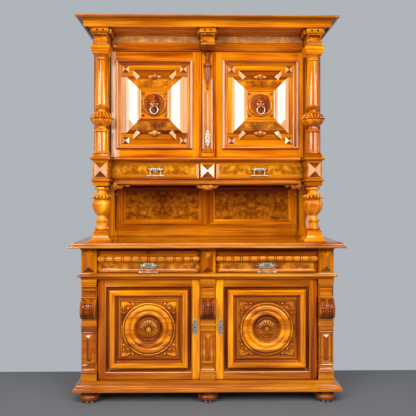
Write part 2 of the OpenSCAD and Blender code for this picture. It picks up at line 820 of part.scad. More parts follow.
module base_left_door_frame() color(WALNUT) mirror([1, 0, 0]) base_door_frame();
module base_left_door_panel() color(BURL) mirror([1, 0, 0]) base_door_panel();
module base_left_rondel() color(WALNUT) mirror([1, 0, 0]) base_rondel();
module base_left_door_fittings() color(BRASS) mirror([1, 0, 0]) base_door_fittings();
module base_right_door_frame() color(WALNUT) base_door_frame();
module base_right_door_panel() color(BURL) base_door_panel();
module base_right_rondel() color(WALNUT) base_rondel();
module base_right_door_fittings() color(BRASS) base_door_fittings();

// Upper doors, drawn for the right side. The left one reaches past the middle,
// behind the astragal that it carries.

ukey_z = udoor_zc - upper_key_drop;
panel_t = -6;
square_t = panel_t + pyramid_rise;

module upper_door_frame(x_in) {
    b = bolection_w;
    s = bolection_rise;
    difference() {
        union() {
            slab([x_in, y_udoor, udoor_z0], [udoor_out, y_udoor + door_t, udoor_z1]);
            translate([upanel_x, y_udoor, udoor_zc])
                raised(upper_panel_w, upper_panel_h, [[0, -1], [0, 1], [2, 8], [7, s]]);
        }
        translate([upanel_x, y_udoor, udoor_zc]) {
            raised(upper_panel_w, upper_panel_h,
                [[b, -door_t - 1], [b, panel_t], [b - 7, panel_t + 2], [b - 15, s - 4],
                    [11, s], [10, s + 1]]);
            raised(field_w + 2 * rabbet, field_h + 2 * rabbet,
                [[0, -door_t - 1], [0, panel_t]]);
        }
        pivot_cuts(upivot_x, upivot_y, udoor_z0, udoor_z1);
    }
}

module upper_door_panel() {
    corner = 40;
    recess_w = 250;
    recess_h = 56;
    recess_z = field_h / 2 - 48;
    translate([upanel_x, y_udoor + 6, udoor_zc]) {
        difference() {
            raised(field_w + 2 * rabbet, field_h + 2 * rabbet, [[0, -12], [0, 0]]);
            for (s = [-1, 1])
                translate([0, 0, s * recess_z])
                    raised(recess_w, recess_h, [[18, -6], [0, 0], [0, 1]]);
        }
        for (sx = [-1, 1], sz = [-1, 1])
            translate([sx * (field_w / 2 - corner / 2 - 4), 0, sz * (field_h / 2 - corner / 2 - 4)])
                hip(corner, corner, 9);
        for (s = [-1, 1])
            translate([0, 6, s * recess_z]) turned_out([[20, 0], [18, 6], [12, 10], [4, 12]]);
        difference() {
            raised(pyramid, pyramid,
                [[0, -1], [0, 0], [(pyramid - square) / 2 - 2, pyramid_rise - 1],
                    [(pyramid - square) / 2, pyramid_rise + 3]]);
            translate([0, -pyramid_rise, 0]) raised(square - 16, square - 16, [[3, 0], [0, 3], [0, 4]]);
        }
        for (sx = [-1, 1], sz = [-1, 1])
            translate([sx * 70, -pyramid_rise, sz * 70])
                turned_out([[7, 0], [6, 3], [3, 5]]);
    }
}

module mask() {
    r = medallion_r;
    muzzle_hw = 6;
    translate([upanel_x, y_udoor - square_t, udoor_zc]) {
        difference() {
            union() {
                turned_out([[r, 0], [r, 4], [r - 4, 7], [r - 10, 7], [r - 14, 4], [r - 30, 4],
                    [r - 34, 8], [38, 13], [24, 18], [10, 20]]);
                slab([-muzzle_hw, -31, -ring_drop - 9], [muzzle_hw, -10, -ring_drop + 9]);
            }
            translate([-20, -24, -ring_drop]) rotate([0, 90, 0])
                cylinder(r = ring_rod + 1.1, h = 40, $fn = 32);
            // Room for the ring beside the muzzle
            for (s = [-1, 1])
                translate([s * (muzzle_hw + 10) - 10, -40, -ring_drop - 10])
                    cube([20, 19.2, 20]);
        }
    }
}

module lion_ring() {
    translate([upanel_x, y_udoor - square_t - 24, udoor_zc - ring_drop - ring_r])
        rotate([90, 0, 0]) rotate_extrude($fn = 64)
            translate([ring_r, 0]) circle(r = ring_rod, $fn = 32);
}

module upper_door_pivots() {
    pivot_plate(upivot_x, upivot_y, udoor_z0);
    pivot_plate(upivot_x, upivot_y, udoor_z1 - plate_t);
}

module astragal() color(WALNUT) {
    a = astragal_hw;
    h = udoor_h;
    translate([0, y_udoor, udoor_z0]) {
        difference() {
            union() {
                slab([-a, -8, 0], [a, 0, h]);
                slab([-a + 14, -16, 30], [a - 14, -8, h - 16]);
            }
            for (x = [-24, 0, 24])
                translate([x, -19, 60]) cylinder(r = 7, h = h - urn_h - 26, $fn = 32);
            translate([0, -20, ukey_z - udoor_z0]) rotate([-90, 0, 0])
                cylinder(r = key_r, h = 22, $fn = 32);
        }
        intersection() {
            translate([0, -16, h - urn_h - 18]) scale([1, 1, urn_h / 214]) turned(
                [[5, 0], [9, 6], [5, 14], [12, 30], [20, 60], [24, 84], [22, 96], [14, 104],
                    [20, 112], [16, 126], [12, 132], [22, 142], [26, 160], [24, 186], [14, 196],
                    [18, 206], [10, 214]]);
            slab([-a, -60, h - urn_h - 26], [a, -16, h]);
        }
    }
}

module upper_left_door_frame() color(WALNUT) difference() {
    mirror([1, 0, 0]) upper_door_frame(-astragal_hw);
    translate([0, y_udoor - 1, ukey_z]) rotate([-90, 0, 0])
        cylinder(r = key_r, h = door_t + 2, $fn = 32);
}
module upper_left_door_panel() color(BURL) mirror([1, 0, 0]) upper_door_panel();
module upper_left_mask() color(WALNUT) mirror([1, 0, 0]) mask();
module upper_left_ring() color(BRASS) mirror([1, 0, 0]) lion_ring();
module upper_left_door_fittings() color(BRASS) {
    mirror([1, 0, 0]) upper_door_pivots();
    difference() {
        slab([-19, y_udoor - 18, ukey_z - 55], [19, y_udoor - 16, ukey_z + 55]);
        translate([0, y_udoor - 19, ukey_z]) rotate([-90, 0, 0])
            cylinder(r = 4, h = 4, $fn = 32);
    }
    slab([-30, y_udoor + door_t, ukey_z - lock_hh], [40, y_udoor + door_t + lock_t, ukey_z + lock_hh]);
}
module upper_right_door_frame() color(WALNUT) upper_door_frame(astragal_hw + 2);
module upper_right_door_panel() color(BURL) upper_door_panel();
module upper_right_mask() color(WALNUT) mask();
module upper_right_ring() color(BRASS) lion_ring();
module upper_right_door_fittings() color(BRASS) upper_door_pivots();

// Drawers, drawn for the right side

base_band = 34;
base_pull_z = z_drawer + drawer_gap + 46;
upper_pull_z = z_udrawer + drawer_gap + 62;
pin_t = 17;
eye_in = 8;

// Front profile of a base drawer, as [projection, height] points
function drawer_front(h) = concat(
    [[4, 0], [9, 3], [10, 8], [8, 13], [3, 16], [6, 19]],
    [[0, 27], [0, 27 + base_band], [7, h - 70], [7, h - 68]],
    arc(4, h - 49, 17, -80, 80, 6),
    [[8, h - 30], [3, h - 26], [-2, h - 15], [2, h - 4], [8, h - 2], [8, h]]);

module bolt_holes(x, y, z, post_x) {
    for (s = [-1, 1])
        translate([x + s * (post_x - eye_in), y - 5, z]) rotate([-90, 0, 0])
            cylinder(r = 3.2, h = front_t + 10, $fn = 32);
}

module base_drawer_front() {
    front = [for (p = drawer_front(drawer_h)) [y_face - p[0], z_drawer + drawer_gap + p[1]]];
    difference() {
        along_x(drawer_x - drawer_w / 2, drawer_x + drawer_w / 2)
            polygon(concat(front, [[y_face + front_t, z_drawer + drawer_gap + drawer_h],
                [y_face + front_t, z_drawer + drawer_gap]]));
        bolt_holes(drawer_x, y_face, base_pull_z, base_post_x);
    }
}

module upper_drawer_front() {
    h = udrawer_h;
    prof = [[6, 0], [10, 4], [10, 16], [4, 24], [4, 27], [0, 29], [0, h - 11], [4, h - 8], [4, h]];
    z0 = z_udrawer + drawer_gap;
    front = [for (p = prof) [y_upper - p[0], z0 + p[1]]];
    difference() {
        along_x(udrawer_in + drawer_gap, udrawer_out)
            polygon(concat(front, [[y_upper + front_t, z0 + h], [y_upper + front_t, z0]]));
        bolt_holes(udrawer_x, y_upper, upper_pull_z, upper_post_x);
    }
}

module drawer_box(x0, x1, y0, y1, z0, h) {
    difference() {
        slab([x0, y0, z0], [x1, y1, z0 + h]);
        slab([x0 + drawer_side, y0 - 1, z0 + drawer_floor],
            [x1 - drawer_side, y1 - drawer_side, z0 + h + 1]);
    }
}

module base_drawer_box() {
    drawer_box(drawer_x - drawer_w / 2 + 3, drawer_x + drawer_w / 2 - 3, y_face + front_t,
        y_face + front_t + base_travel + base_stay, z_drawer + 1 + fit, base_drawer_h - 25);
}

module upper_drawer_box() {
    drawer_box(udrawer_in + drawer_gap + 3, udrawer_out - 3, y_upper + front_t,
        y_upper + front_t + upper_travel + upper_stay, z_udrawer + 1 + fit, upper_drawer_h - 24);
}

// A pull's back plate, posts, pins, nuts and lock, about its own middle
module pull(post_x, plate_hw, plate_hh) {
    post_in = post_x - eye_in;
    difference() {
        slab([-plate_hw, -3, -plate_hh], [plate_hw, 0, plate_hh]);
        translate([0, -4, -2]) rotate([-90, 0, 0]) cylinder(r = 3.5, h = 5, $fn = 32);
    }
    for (s = [-1, 1]) {
        translate([s * post_in, 0, 0]) {
            translate([0, -pin_t - 5, 0]) rotate([-90, 0, 0]) cylinder(r = 5, h = pin_t + 2, $fn = 32);
            translate([0, -1, 0]) rotate([-90, 0, 0]) cylinder(r = 3, h = front_t + 5, $fn = 32);
            translate([0, front_t, 0]) rotate([-90, 0, 0]) cylinder(r = 7, h = 4, $fn = 32);
        }
        translate([s * post_in, -pin_t, 0]) rotate([0, s * 90, 0]) {
            cylinder(r = 2, h = 13, $fn = 32);
            translate([0, 0, 11]) cylinder(r = 3.4, h = 2, $fn = 32);
        }
    }
    slab([-25, front_t, -18], [25, front_t + 10, 18]);
}

// The hanging bail: two eyes on the pull's pins, two arms and a bar
module bail(post_x, bar_x) {
    translate([0, -pin_t, 0]) {
        for (s = [-1, 1]) {
            difference() {
                union() {
                    translate([s * post_x - 2.2, 0, 0]) rotate([0, 90, 0])
                        cylinder(r = 5, h = 4.4, $fn = 32);
                    translate([s * post_x, 0, -bail_drop])
                        cylinder(r = 2.2, h = bail_drop - 3, $fn = 32);
                }
                translate([s * post_x - 4, 0, 0]) rotate([0, 90, 0])
                    cylinder(r = 2.25, h = 8, $fn = 32);
            }
            translate([s * bar_x, 0, -bail_drop]) sphere(r = bail_r + 1.5, $fn = 32);
        }
        translate([-bar_x, 0, -bail_drop]) rotate([0, 90, 0])
            cylinder(r = bail_r, h = 2 * bar_x, $fn = 32);
    }
}

// side is -1 for the left drawer and 1 for the right one
module base_pull(side) {
    translate([side * drawer_x, y_face, base_pull_z]) pull(base_post_x, 45, base_band / 2 - 2);
}
module base_bail(side) {
    translate([side * drawer_x, y_face, base_pull_z]) bail(base_post_x, base_bar_x);
}
module upper_pull(side) {
    translate([side * udrawer_x, y_upper, upper_pull_z]) pull(upper_post_x, 36, 17);
}
module upper_bail(side) {
    translate([side * udrawer_x, y_upper, upper_pull_z]) bail(upper_post_x, upper_bar_x);
}

module base_left_drawer_front() color(WALNUT) mirror([1, 0, 0]) base_drawer_front();
module base_left_drawer_box() color(PINE) mirror([1, 0, 0]) base_drawer_box();
module base_left_pull() color(BRASS) base_pull(-1);
module base_left_bail() color(BRASS) base_bail(-1);
module base_right_drawer_front() color(WALNUT) base_drawer_front();
module base_right_drawer_box() color(PINE) base_drawer_box();
module base_right_pull() color(BRASS) base_pull(1);
module base_right_bail() color(BRASS) base_bail(1);
module upper_left_drawer_front() color(BURL) mirror([1, 0, 0]) upper_drawer_front();
module upper_left_drawer_box() color(PINE) mirror([1, 0, 0]) upper_drawer_box();
module upper_left_pull() color(BRASS) upper_pull(-1);
module upper_left_bail() color(BRASS) upper_bail(-1);
module upper_right_drawer_front() color(BURL) upper_drawer_front();
module upper_right_drawer_box() color(PINE) upper_drawer_box();
module upper_right_pull() color(BRASS) upper_pull(1);
module upper_right_bail() color(BRASS) upper_bail(1);

bun_feet();
plinth();
base_floor();
base_boards();
back_boards();
base_pilasters();
waist_rail();
base_dies();
drawer_runners();
shelves();
worktop();
niche_back();
niche_wings();
vase_balusters();
corner_dies();
columns();
upper_floor();
upper_rail();
apron();
upper_sides();
frieze();
frieze_corbels();
cornice();
base_hinge_plates();
upper_hinge_plates();
base_left_door_frame();
base_left_door_panel();
base_left_rondel();
base_left_door_fittings();
base_right_door_frame();
base_right_door_panel();
base_right_rondel();
base_right_door_fittings();
upper_left_door_frame();
upper_left_door_panel();
upper_left_mask();
astragal();
upper_left_door_fittings();
upper_left_ring();
upper_right_door_frame();
upper_right_door_panel();
upper_right_mask();
upper_right_door_fittings();
upper_right_ring();
base_left_drawer_front();
base_left_drawer_box();
base_left_pull();
base_left_bail();
base_right_drawer_front();
base_right_drawer_box();
base_right_pull();
base_right_bail();
upper_left_drawer_front();
upper_left_drawer_box();
upper_left_pull();
upper_left_bail();
upper_right_drawer_front();
upper_right_drawer_box();
upper_right_pull();
upper_right_bail();
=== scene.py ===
# %% [markdown]
# A carved walnut buffet cabinet of about 1880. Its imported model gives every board, door and
# drawer its place, and this lesson dresses it: turned and carved pieces, veneers, polish and
# brass. The script builds everything in metres, with the front of the cabinet facing -Y.

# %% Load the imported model
import json
import math
import random
import bmesh
import bpy
import numpy as np
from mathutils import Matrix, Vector
from mathutils.geometry import tessellate_polygon


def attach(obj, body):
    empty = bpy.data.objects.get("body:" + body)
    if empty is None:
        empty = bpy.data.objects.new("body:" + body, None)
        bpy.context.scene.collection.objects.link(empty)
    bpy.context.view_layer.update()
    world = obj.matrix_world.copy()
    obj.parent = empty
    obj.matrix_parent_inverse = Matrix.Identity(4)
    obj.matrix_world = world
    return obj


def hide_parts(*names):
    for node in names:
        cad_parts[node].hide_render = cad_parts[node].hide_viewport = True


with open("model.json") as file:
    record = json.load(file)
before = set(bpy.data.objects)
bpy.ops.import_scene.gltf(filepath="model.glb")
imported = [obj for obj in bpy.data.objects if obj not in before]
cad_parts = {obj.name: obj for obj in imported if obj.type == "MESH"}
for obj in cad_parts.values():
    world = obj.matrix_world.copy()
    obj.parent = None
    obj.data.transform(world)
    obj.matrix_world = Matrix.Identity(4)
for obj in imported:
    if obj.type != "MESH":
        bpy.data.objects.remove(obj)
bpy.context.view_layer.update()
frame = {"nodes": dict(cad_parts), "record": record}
nodes = frame["nodes"]
scene = bpy.context.scene
scene.view_settings.view_transform = "Standard"

# %% [markdown]
# The camera stands 3.6 m in front of the middle of the cabinet, just over the worktop. The
# lens looks level, so that upright edges stay upright, and a small shift lowers the view.

# %% Camera
EYE = (-0.045, -3.6, 1.302)
LENS_MM = 46.3
TURN_DEG = -0.785
PICTURE_PX = 416
HORIZON_PX = 195
camera = bpy.data.objects.new("camera", bpy.data.cameras.new("camera"))
scene.collection.objects.link(camera)
scene.camera = camera
camera.location = EYE
camera.rotation_euler = (math.radians(90), 0, math.radians(TURN_DEG))
camera.data.lens = LENS_MM
camera.data.shift_y = (HORIZON_PX - PICTURE_PX / 2) / PICTURE_PX
print("camera", tuple(camera.location))

# %% [markdown]
# Polished wood shows its shape through reflections. Two upright soft boxes stand at each side,
# where the slanted faces of the doors mirror them and flat faces don't. The left pair is the
# stronger. A faint card gives the left stiles a sheen, and a high box over the camera draws the
# shadows down and runs a line of light along every rounded moulding. A weak box lights the back.

# %% Lights
def soft_box(name, place, target, width, height, watts):
    lamp = bpy.data.lights.new(name, "AREA")
    lamp.shape = "RECTANGLE"
    lamp.size, lamp.size_y, lamp.energy = width, height, watts
    box = bpy.data.objects.new(name, lamp)
    box.location = place
    box.rotation_euler = (Vector(target) - Vector(place)).to_track_quat("-Z", "Y").to_euler()
    scene.collection.objects.link(box)


MIDDLE = (0, -0.1, 1.2)
BOX_Y = -3.4
soft_box("far_left_box", (-3.45, BOX_Y, 2.38), MIDDLE, 0.70, 1.75, 88)
soft_box("near_left_box", (-1.78, BOX_Y, 2.55), MIDDLE, 0.44, 1.4, 49)
soft_box("near_right_box", (1.84, BOX_Y, 2.55), MIDDLE, 0.56, 1.4, 44)
soft_box("far_right_box", (3.60, BOX_Y, 2.38), MIDDLE, 0.70, 1.75, 66)
soft_box("left_card", (-1.20, -3.5, 2.42), (-1.20, 0, 2.42), 0.18, 1.26, 5)
soft_box("high_box", (0.0, -3.3, 4.15), MIDDLE, 3.2, 1.15, 125)
soft_box("back_box", (0.0, 3.6, 3.6), MIDDLE, 2.5, 1.2, 22)

# %% [markdown]
# Shader formulas get long as drawn node trees. A small class wraps a socket, so that an
# expression such as 1 - mask adds its Math node by itself, and one method adds any other node.

# %% Sockets as values
class Value:
    """One output socket of a finish. Arithmetic on it adds Math nodes."""

    def __init__(self, finish, socket):
        self.finish, self.socket = finish, socket

    def math(self, operation, *values):
        return self.finish.node("ShaderNodeMath", {"operation": operation}, dict(enumerate(values)))

    def __add__(self, other): return self.math("ADD", self, other)
    def __radd__(self, other): return self.math("ADD", other, self)
    def __sub__(self, other): return self.math("SUBTRACT", self, other)
    def __rsub__(self, other): return self.math("SUBTRACT", other, self)
    def __mul__(self, other): return self.math("MULTIPLY", self, other)
    def __rmul__(self, other): return self.math("MULTIPLY", other, self)
    def __abs__(self): return self.math("ABSOLUTE", self)

    def ramp(self, low, high):
        """0 below low, 1 above high, smooth between them."""
        return self.finish.node("ShaderNodeMapRange", {"interpolation_type": "SMOOTHSTEP"},
                                {"Value": self, "From Min": low, "From Max": high})


# %% [markdown]
# A finish is one material of the cabinet, such as a stained wood or a cast metal. Each is written
# as a few lines of formulas, so that two woods differ only in the numbers they are made with.

# %% Node trees and finishes
class Nodes:
    """A node tree that expressions can be written for."""

    def __init__(self, tree):
        self.tree = tree

    def node(self, kind, settings=None, inputs=None, out=0):
        made = self.tree.nodes.new(kind)
        for key, setting in (settings or {}).items():
            if key == "stops":
                ramp = made.color_ramp
                while len(ramp.elements) < len(setting):
                    ramp.elements.new(0.5)
                for element, (place, colour) in zip(ramp.elements, setting):
                    element.position, element.color = place, (*colour, 1)
            else:
                setattr(made, key, setting)
        for key, value in (inputs or {}).items():
            if isinstance(value, Value):
                self.tree.links.new(value.socket, made.inputs[key])
            else:
                made.inputs[key].default_value = value
        return Value(self, made.outputs[out])

    def mix(self, factor, a, b, blend="MIX"):
        a, b = [(*c, 1) if isinstance(c, tuple) and len(c) == 3 else c for c in (a, b)]
        return self.node("ShaderNodeMix", {"data_type": "RGBA", "blend_type": blend},
                         {0: factor, 6: a, 7: b}, out=2)

    def vector(self, operation, a, b):
        return self.node("ShaderNodeVectorMath", {"operation": operation}, {0: a, 1: b})

    def noise(self, place, scale=1.0, detail=2.0, distortion=0.0, rough=0.5, out=0):
        return self.node("ShaderNodeTexNoise", None, {"Vector": place, "Scale": scale,
                         "Detail": detail, "Distortion": distortion, "Roughness": rough}, out)

    def colours(self, factor, stops):
        return self.node("ShaderNodeValToRGB", {"stops": stops}, {"Fac": factor})

    def shut_in(self, reach):
        """1 in the open, falling towards 0 in corners and hollows."""
        return self.node("ShaderNodeAmbientOcclusion", {"samples": 6},
                         {"Distance": reach}, out=1)


class Finish(Nodes):
    """One material; its constants are set on the shader's own sockets."""

    def __init__(self, name, **constants):
        self.material = bpy.data.materials.new(name)
        self.material.use_nodes = True
        super().__init__(self.material.node_tree)
        self.shader = self.tree.nodes["Principled BSDF"]
        for key, number in constants.items():
            self.shader.inputs[key.replace("_", " ")].default_value = number

    def feed(self, socket, value):
        self.tree.links.new(value.socket, self.shader.inputs[socket])

    def bump(self, height, strength, distance):
        self.feed("Normal", self.node("ShaderNodeBump", None, {
            "Height": height, "Strength": strength, "Distance": distance}))


print("shader helpers ready")

# %% [markdown]
# Wood grain follows each board, not the room. Every mesh made here stores a "grain" vector on
# its points: the first number runs along the board, the other two across it, in metres. The
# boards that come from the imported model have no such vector, so their grain runs along an axis.

# %% Where the grain runs
ALONG = {"x": (0, 1, 2), "y": (1, 0, 2), "z": (2, 0, 1)}


def grain_place(finish, axis=None):
    if axis is None:
        return finish.node("ShaderNodeAttribute", {"attribute_name": "grain"}, out=1)
    place = finish.node("ShaderNodeTexCoord", out=3)
    parts = [finish.node("ShaderNodeSeparateXYZ", None, {0: place}, out=k) for k in ALONG[axis]]
    return finish.node("ShaderNodeCombineXYZ", None, dict(enumerate(parts)))


# %% [markdown]
# The walnut is stained honey amber and French polished. Broad soft bands, narrower streaks
# and short pores come from one noise stretched three ways; old polish and painted shade darken the corners.

# %% Walnut
POLISH = {"Coat_Weight": 0.85, "Coat_IOR": 1.55, "Coat_Roughness": 0.04, "Specular_IOR_Level": 0.0}
# The first colour is a painted sheen that the pale copies of the woods mix in.
# The second colour darkens corners and hollows, partly as old polish and partly as painted shade.
SHEEN_COLOUR, OLD_POLISH_AND_SHADE, CORNER_M = (0.82, 0.57, 0.33), (0.22, 0.11, 0.06), 0.026


def stain(f, tone, stops, light, green, painted_sheen):
    """The colours of a wood for its tones. light and green scale them for lit and shaded copies; the last
    number mixes in a painted sheen.
    """
    wood = f.colours(tone, [(at, (r * light, g * light * green, b * light)) for at, r, g, b in stops])
    return f.mix(painted_sheen, wood, SHEEN_COLOUR)


def polish_and_shade_corners(f, wood):
    """Gives the shader the wood, darkened in corners by old polish and painted shade. What it returns is 0
    there and 1 outside.
    """
    openness = f.shut_in(CORNER_M).ramp(0.22, 0.88)
    f.feed("Base Color", f.mix(openness, f.mix(1.0, wood, OLD_POLISH_AND_SHADE, "MULTIPLY"), wood))
    return openness


def walnut(name, axis=None, light=1.0, green=1.0, painted_sheen=0.0):
    f = Finish(name, **POLISH)
    place = grain_place(f, axis)
    drift = f.noise(f.vector("MULTIPLY", place, (1.3, 7, 7)), detail=2, out=1)
    bent = f.vector("ADD", place, f.vector("MULTIPLY", drift, (0, 0.035, 0.035)))
    clouds = f.noise(f.vector("MULTIPLY", place, (2.2, 9, 9)), detail=2)
    bands = f.noise(f.vector("MULTIPLY", bent, (1.1, 26, 26)), detail=3, rough=0.55)
    streaks = f.noise(f.vector("MULTIPLY", bent, (3, 150, 150)), detail=3, rough=0.6)
    pores = f.noise(f.vector("MULTIPLY", place, (40, 1100, 1100)), detail=1)
    tone = clouds * 0.45 + bands * 0.65 + streaks * 0.40 - 0.25
    stops = ((0.30, 0.17, 0.027, 0.0005), (0.44, 0.37, 0.082, 0.001), (0.56, 0.54, 0.155, 0.002),
             (0.72, 0.74, 0.260, 0.004))
    wood = stain(f, tone, stops, light, green, painted_sheen)
    wood = f.mix(pores.ramp(0.66, 0.74) * 0.45, wood, (0.10, 0.022, 0.003))
    openness = polish_and_shade_corners(f, wood)
    f.feed("Roughness", 0.32 + (1 - openness) * 0.25 + pores * 0.06)
    f.bump(streaks * 0.5 + pores * 0.5, 0.06, 0.001)
    return f.material


# %% [markdown]
# Burl veneer has no straight grain: dark threads curl between small eyes. The leaves are laid
# book-matched, so the pattern mirrors about the middle of each field.

# %% Burl veneer
def burl(name, light=1.0, green=1.0, size=1.0, painted_sheen=0.0):
    f = Finish(name, **POLISH)
    place = grain_place(f)
    drift = f.noise(place, scale=9 / size, detail=3, out=1)
    bent = f.vector("ADD", place, f.vector("MULTIPLY", drift, (0.07, 0.07, 0.07)))
    cloud = f.noise(bent, scale=16 / size, detail=4, rough=0.6)
    threads = abs(f.noise(bent, scale=70 / size, detail=4, distortion=1.2, rough=0.6) - 0.5)
    eyes = f.node("ShaderNodeTexVoronoi", None, {"Vector": bent, "Scale": 110 / size})
    tone = cloud * 0.95 + threads.ramp(0.0, 0.12) * 0.16 - (1 - eyes.ramp(0.02, 0.2)) * 0.10
    stops = ((0.32, 0.11, 0.024, 0.001), (0.48, 0.27, 0.072, 0.002), (0.62, 0.48, 0.165, 0.004),
             (0.80, 0.74, 0.340, 0.014))
    openness = polish_and_shade_corners(f, stain(f, tone, stops, light, green, painted_sheen))
    f.feed("Roughness", 0.28 + (1 - openness) * 0.25)
    f.bump(threads, 0.05, 0.001)
    return f.material


# %% [markdown]
# The fittings are cast brass, pale where hands polish them and brown in the hollows. The
# insides are bare pine and stained boards without polish.

# %% Brass, pine and plain back boards
def brass(name):
    f = Finish(name, Metallic=1.0)
    place = f.node("ShaderNodeTexCoord", out=3)
    worn = f.noise(place, scale=90, detail=3)
    openness = f.shut_in(0.010).ramp(0.2, 0.9)
    metal = f.mix(worn.ramp(0.35, 0.7), (0.86, 0.72, 0.45), (0.95, 0.86, 0.64))
    f.feed("Base Color", f.mix(openness, f.mix(1.0, metal, (0.36, 0.27, 0.18), "MULTIPLY"), metal))
    f.feed("Roughness", 0.30 + worn * 0.14 + (1 - openness) * 0.3)
    f.bump(f.noise(place, scale=700, detail=2), 0.05, 0.0006)
    return f.material


def bare_wood(name, axis, pale, deep):
    f = Finish(name)
    place = grain_place(f, axis)
    bands = f.noise(f.vector("MULTIPLY", place, (1.0, 24, 24)), detail=3)
    fibre = f.noise(f.vector("MULTIPLY", place, (8, 420, 420)), detail=2)
    tone = bands * 0.65 + fibre * 0.35
    f.feed("Base Color", f.mix(tone.ramp(0.36, 0.62), deep, pale))
    f.feed("Roughness", 0.62 + fibre * 0.15)
    f.bump(fibre, 0.12, 0.001)
    return f.material


WALNUT = walnut("walnut")
# The five copies below the plain walnut are that wood made lighter or darker, to paint light and shade:
# the first two where light falls, the third with a painted sheen, the last two in hollows and shade.
LIT_WALNUT = walnut("lit_walnut", light=1.35)
HIGHLIT_WALNUT = walnut("highlit_walnut", light=1.65, green=1.15)
SHEEN_WALNUT = walnut("sheen_walnut", light=1.15, painted_sheen=0.5)
SHADED = walnut("shaded_walnut", light=0.82, green=0.78)
DEEP_SHADE_WALNUT = walnut("deep_shade_walnut", light=0.50, green=0.76)
BURL = burl("burl_walnut", light=1.15, size=0.6)
# The frieze's pale burl is a lighter copy with painted sheen mixed in, partly its own tone, partly painted
# light.
PALE_BURL = burl("pale_burl", light=1.35, green=1.05, painted_sheen=0.22)
PYRAMID_BURL = burl("pyramid_burl", light=1.0, green=0.85)
DARK_BURL = burl("dark_burl", light=1.1, green=0.88, size=0.6)
BRASS = brass("brass")
# The next finish is painted shadow: a near-black board put behind holes and keyholes, where only shade
# falls.
HOLE_SHADOW = bare_wood("painted_hole_shadow", None, (0.030, 0.012, 0.006), (0.014, 0.006, 0.003))
walnut_along = {axis: walnut("walnut_along_" + axis, axis) for axis in "xyz"}
PINE = bare_wood("pine", "y", (0.62, 0.42, 0.22), (0.46, 0.28, 0.13))
BACK_BOARD = bare_wood("back_board", "z", (0.20, 0.10, 0.045), (0.11, 0.052, 0.022))
print("finishes", sorted(m.name for m in bpy.data.materials if m.use_nodes))

# %% [markdown]
# The model's own boards stay where they are and only get a finish. Pine, back boards and brass
# are named by the slot of each node; everything else is walnut, with the grain along the board.

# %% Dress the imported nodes
def slot_of(name):
    rows = frame["record"]["subparts"]
    return next(r["material_slot"] for r in rows if r["node"] == name)


GRAIN_Z = ("base_boards", "upper_sides", "niche_wings", "base_left_door_frame",
           "base_right_door_frame", "upper_left_door_frame", "upper_right_door_frame", "astragal")
for name, node in nodes.items():
    finish = {"pine": PINE, "dark_walnut": BACK_BOARD, "brass": BRASS}.get(slot_of(name))
    if finish is None:
        finish = walnut_along["z" if name in GRAIN_Z else "x"]
    node.data.materials.clear()
    node.data.materials.append(finish)
print("dressed", len(nodes), "nodes")

# %% [markdown]
# One small mesh maker serves every piece. It gathers boards, mouldings and turnings in
# millimetres, remembers which way the grain of each runs, and makes one object of them.

# %% Outlines
MM = 0.001
chance = random.Random(1880)


def arc(cx, cy, r, start, end, steps=8):
    steps = max(steps, math.ceil(abs(end - start) / 15))
    angles = np.radians(np.linspace(start, end, steps + 1))
    return [(cx + r * math.cos(a), cy + r * math.sin(a)) for a in angles]


def smooth(points, steps=5):
    """A soft curve through all the points, with steps points for each of them."""
    p = np.asarray(points, float)
    p = np.vstack([2 * p[0] - p[1], p, 2 * p[-1] - p[-2]])
    made = []
    for a, b, c, d in zip(p[:-3], p[1:-2], p[2:-1], p[3:]):
        for t in np.arange(steps) / steps:
            made.append(0.5 * (2 * b + (c - a) * t + (2 * a - 5 * b + 4 * c - d) * t * t
                               + (3 * b - 3 * c + d - a) * t ** 3))
    return [tuple(q) for q in made] + [tuple(p[-2])]


def caps_of(*loops):
    """The triangles that close an outline and leave its holes open, as numbers of its points."""
    return [list(t) for t in tessellate_polygon([[Vector((*p, 0)) for p in loop] for loop in loops])]


def banded(profile, by, *bands):
    """The finish of each strip of a profile: that of the band (from, to, finish) that holds the
    strip's first point, measured across (by = 0) or up (by = 1), and otherwise 0."""
    return [next((finish for low, high, finish in bands if low <= point[by] < high), 0)
            for point in profile[:-1]]


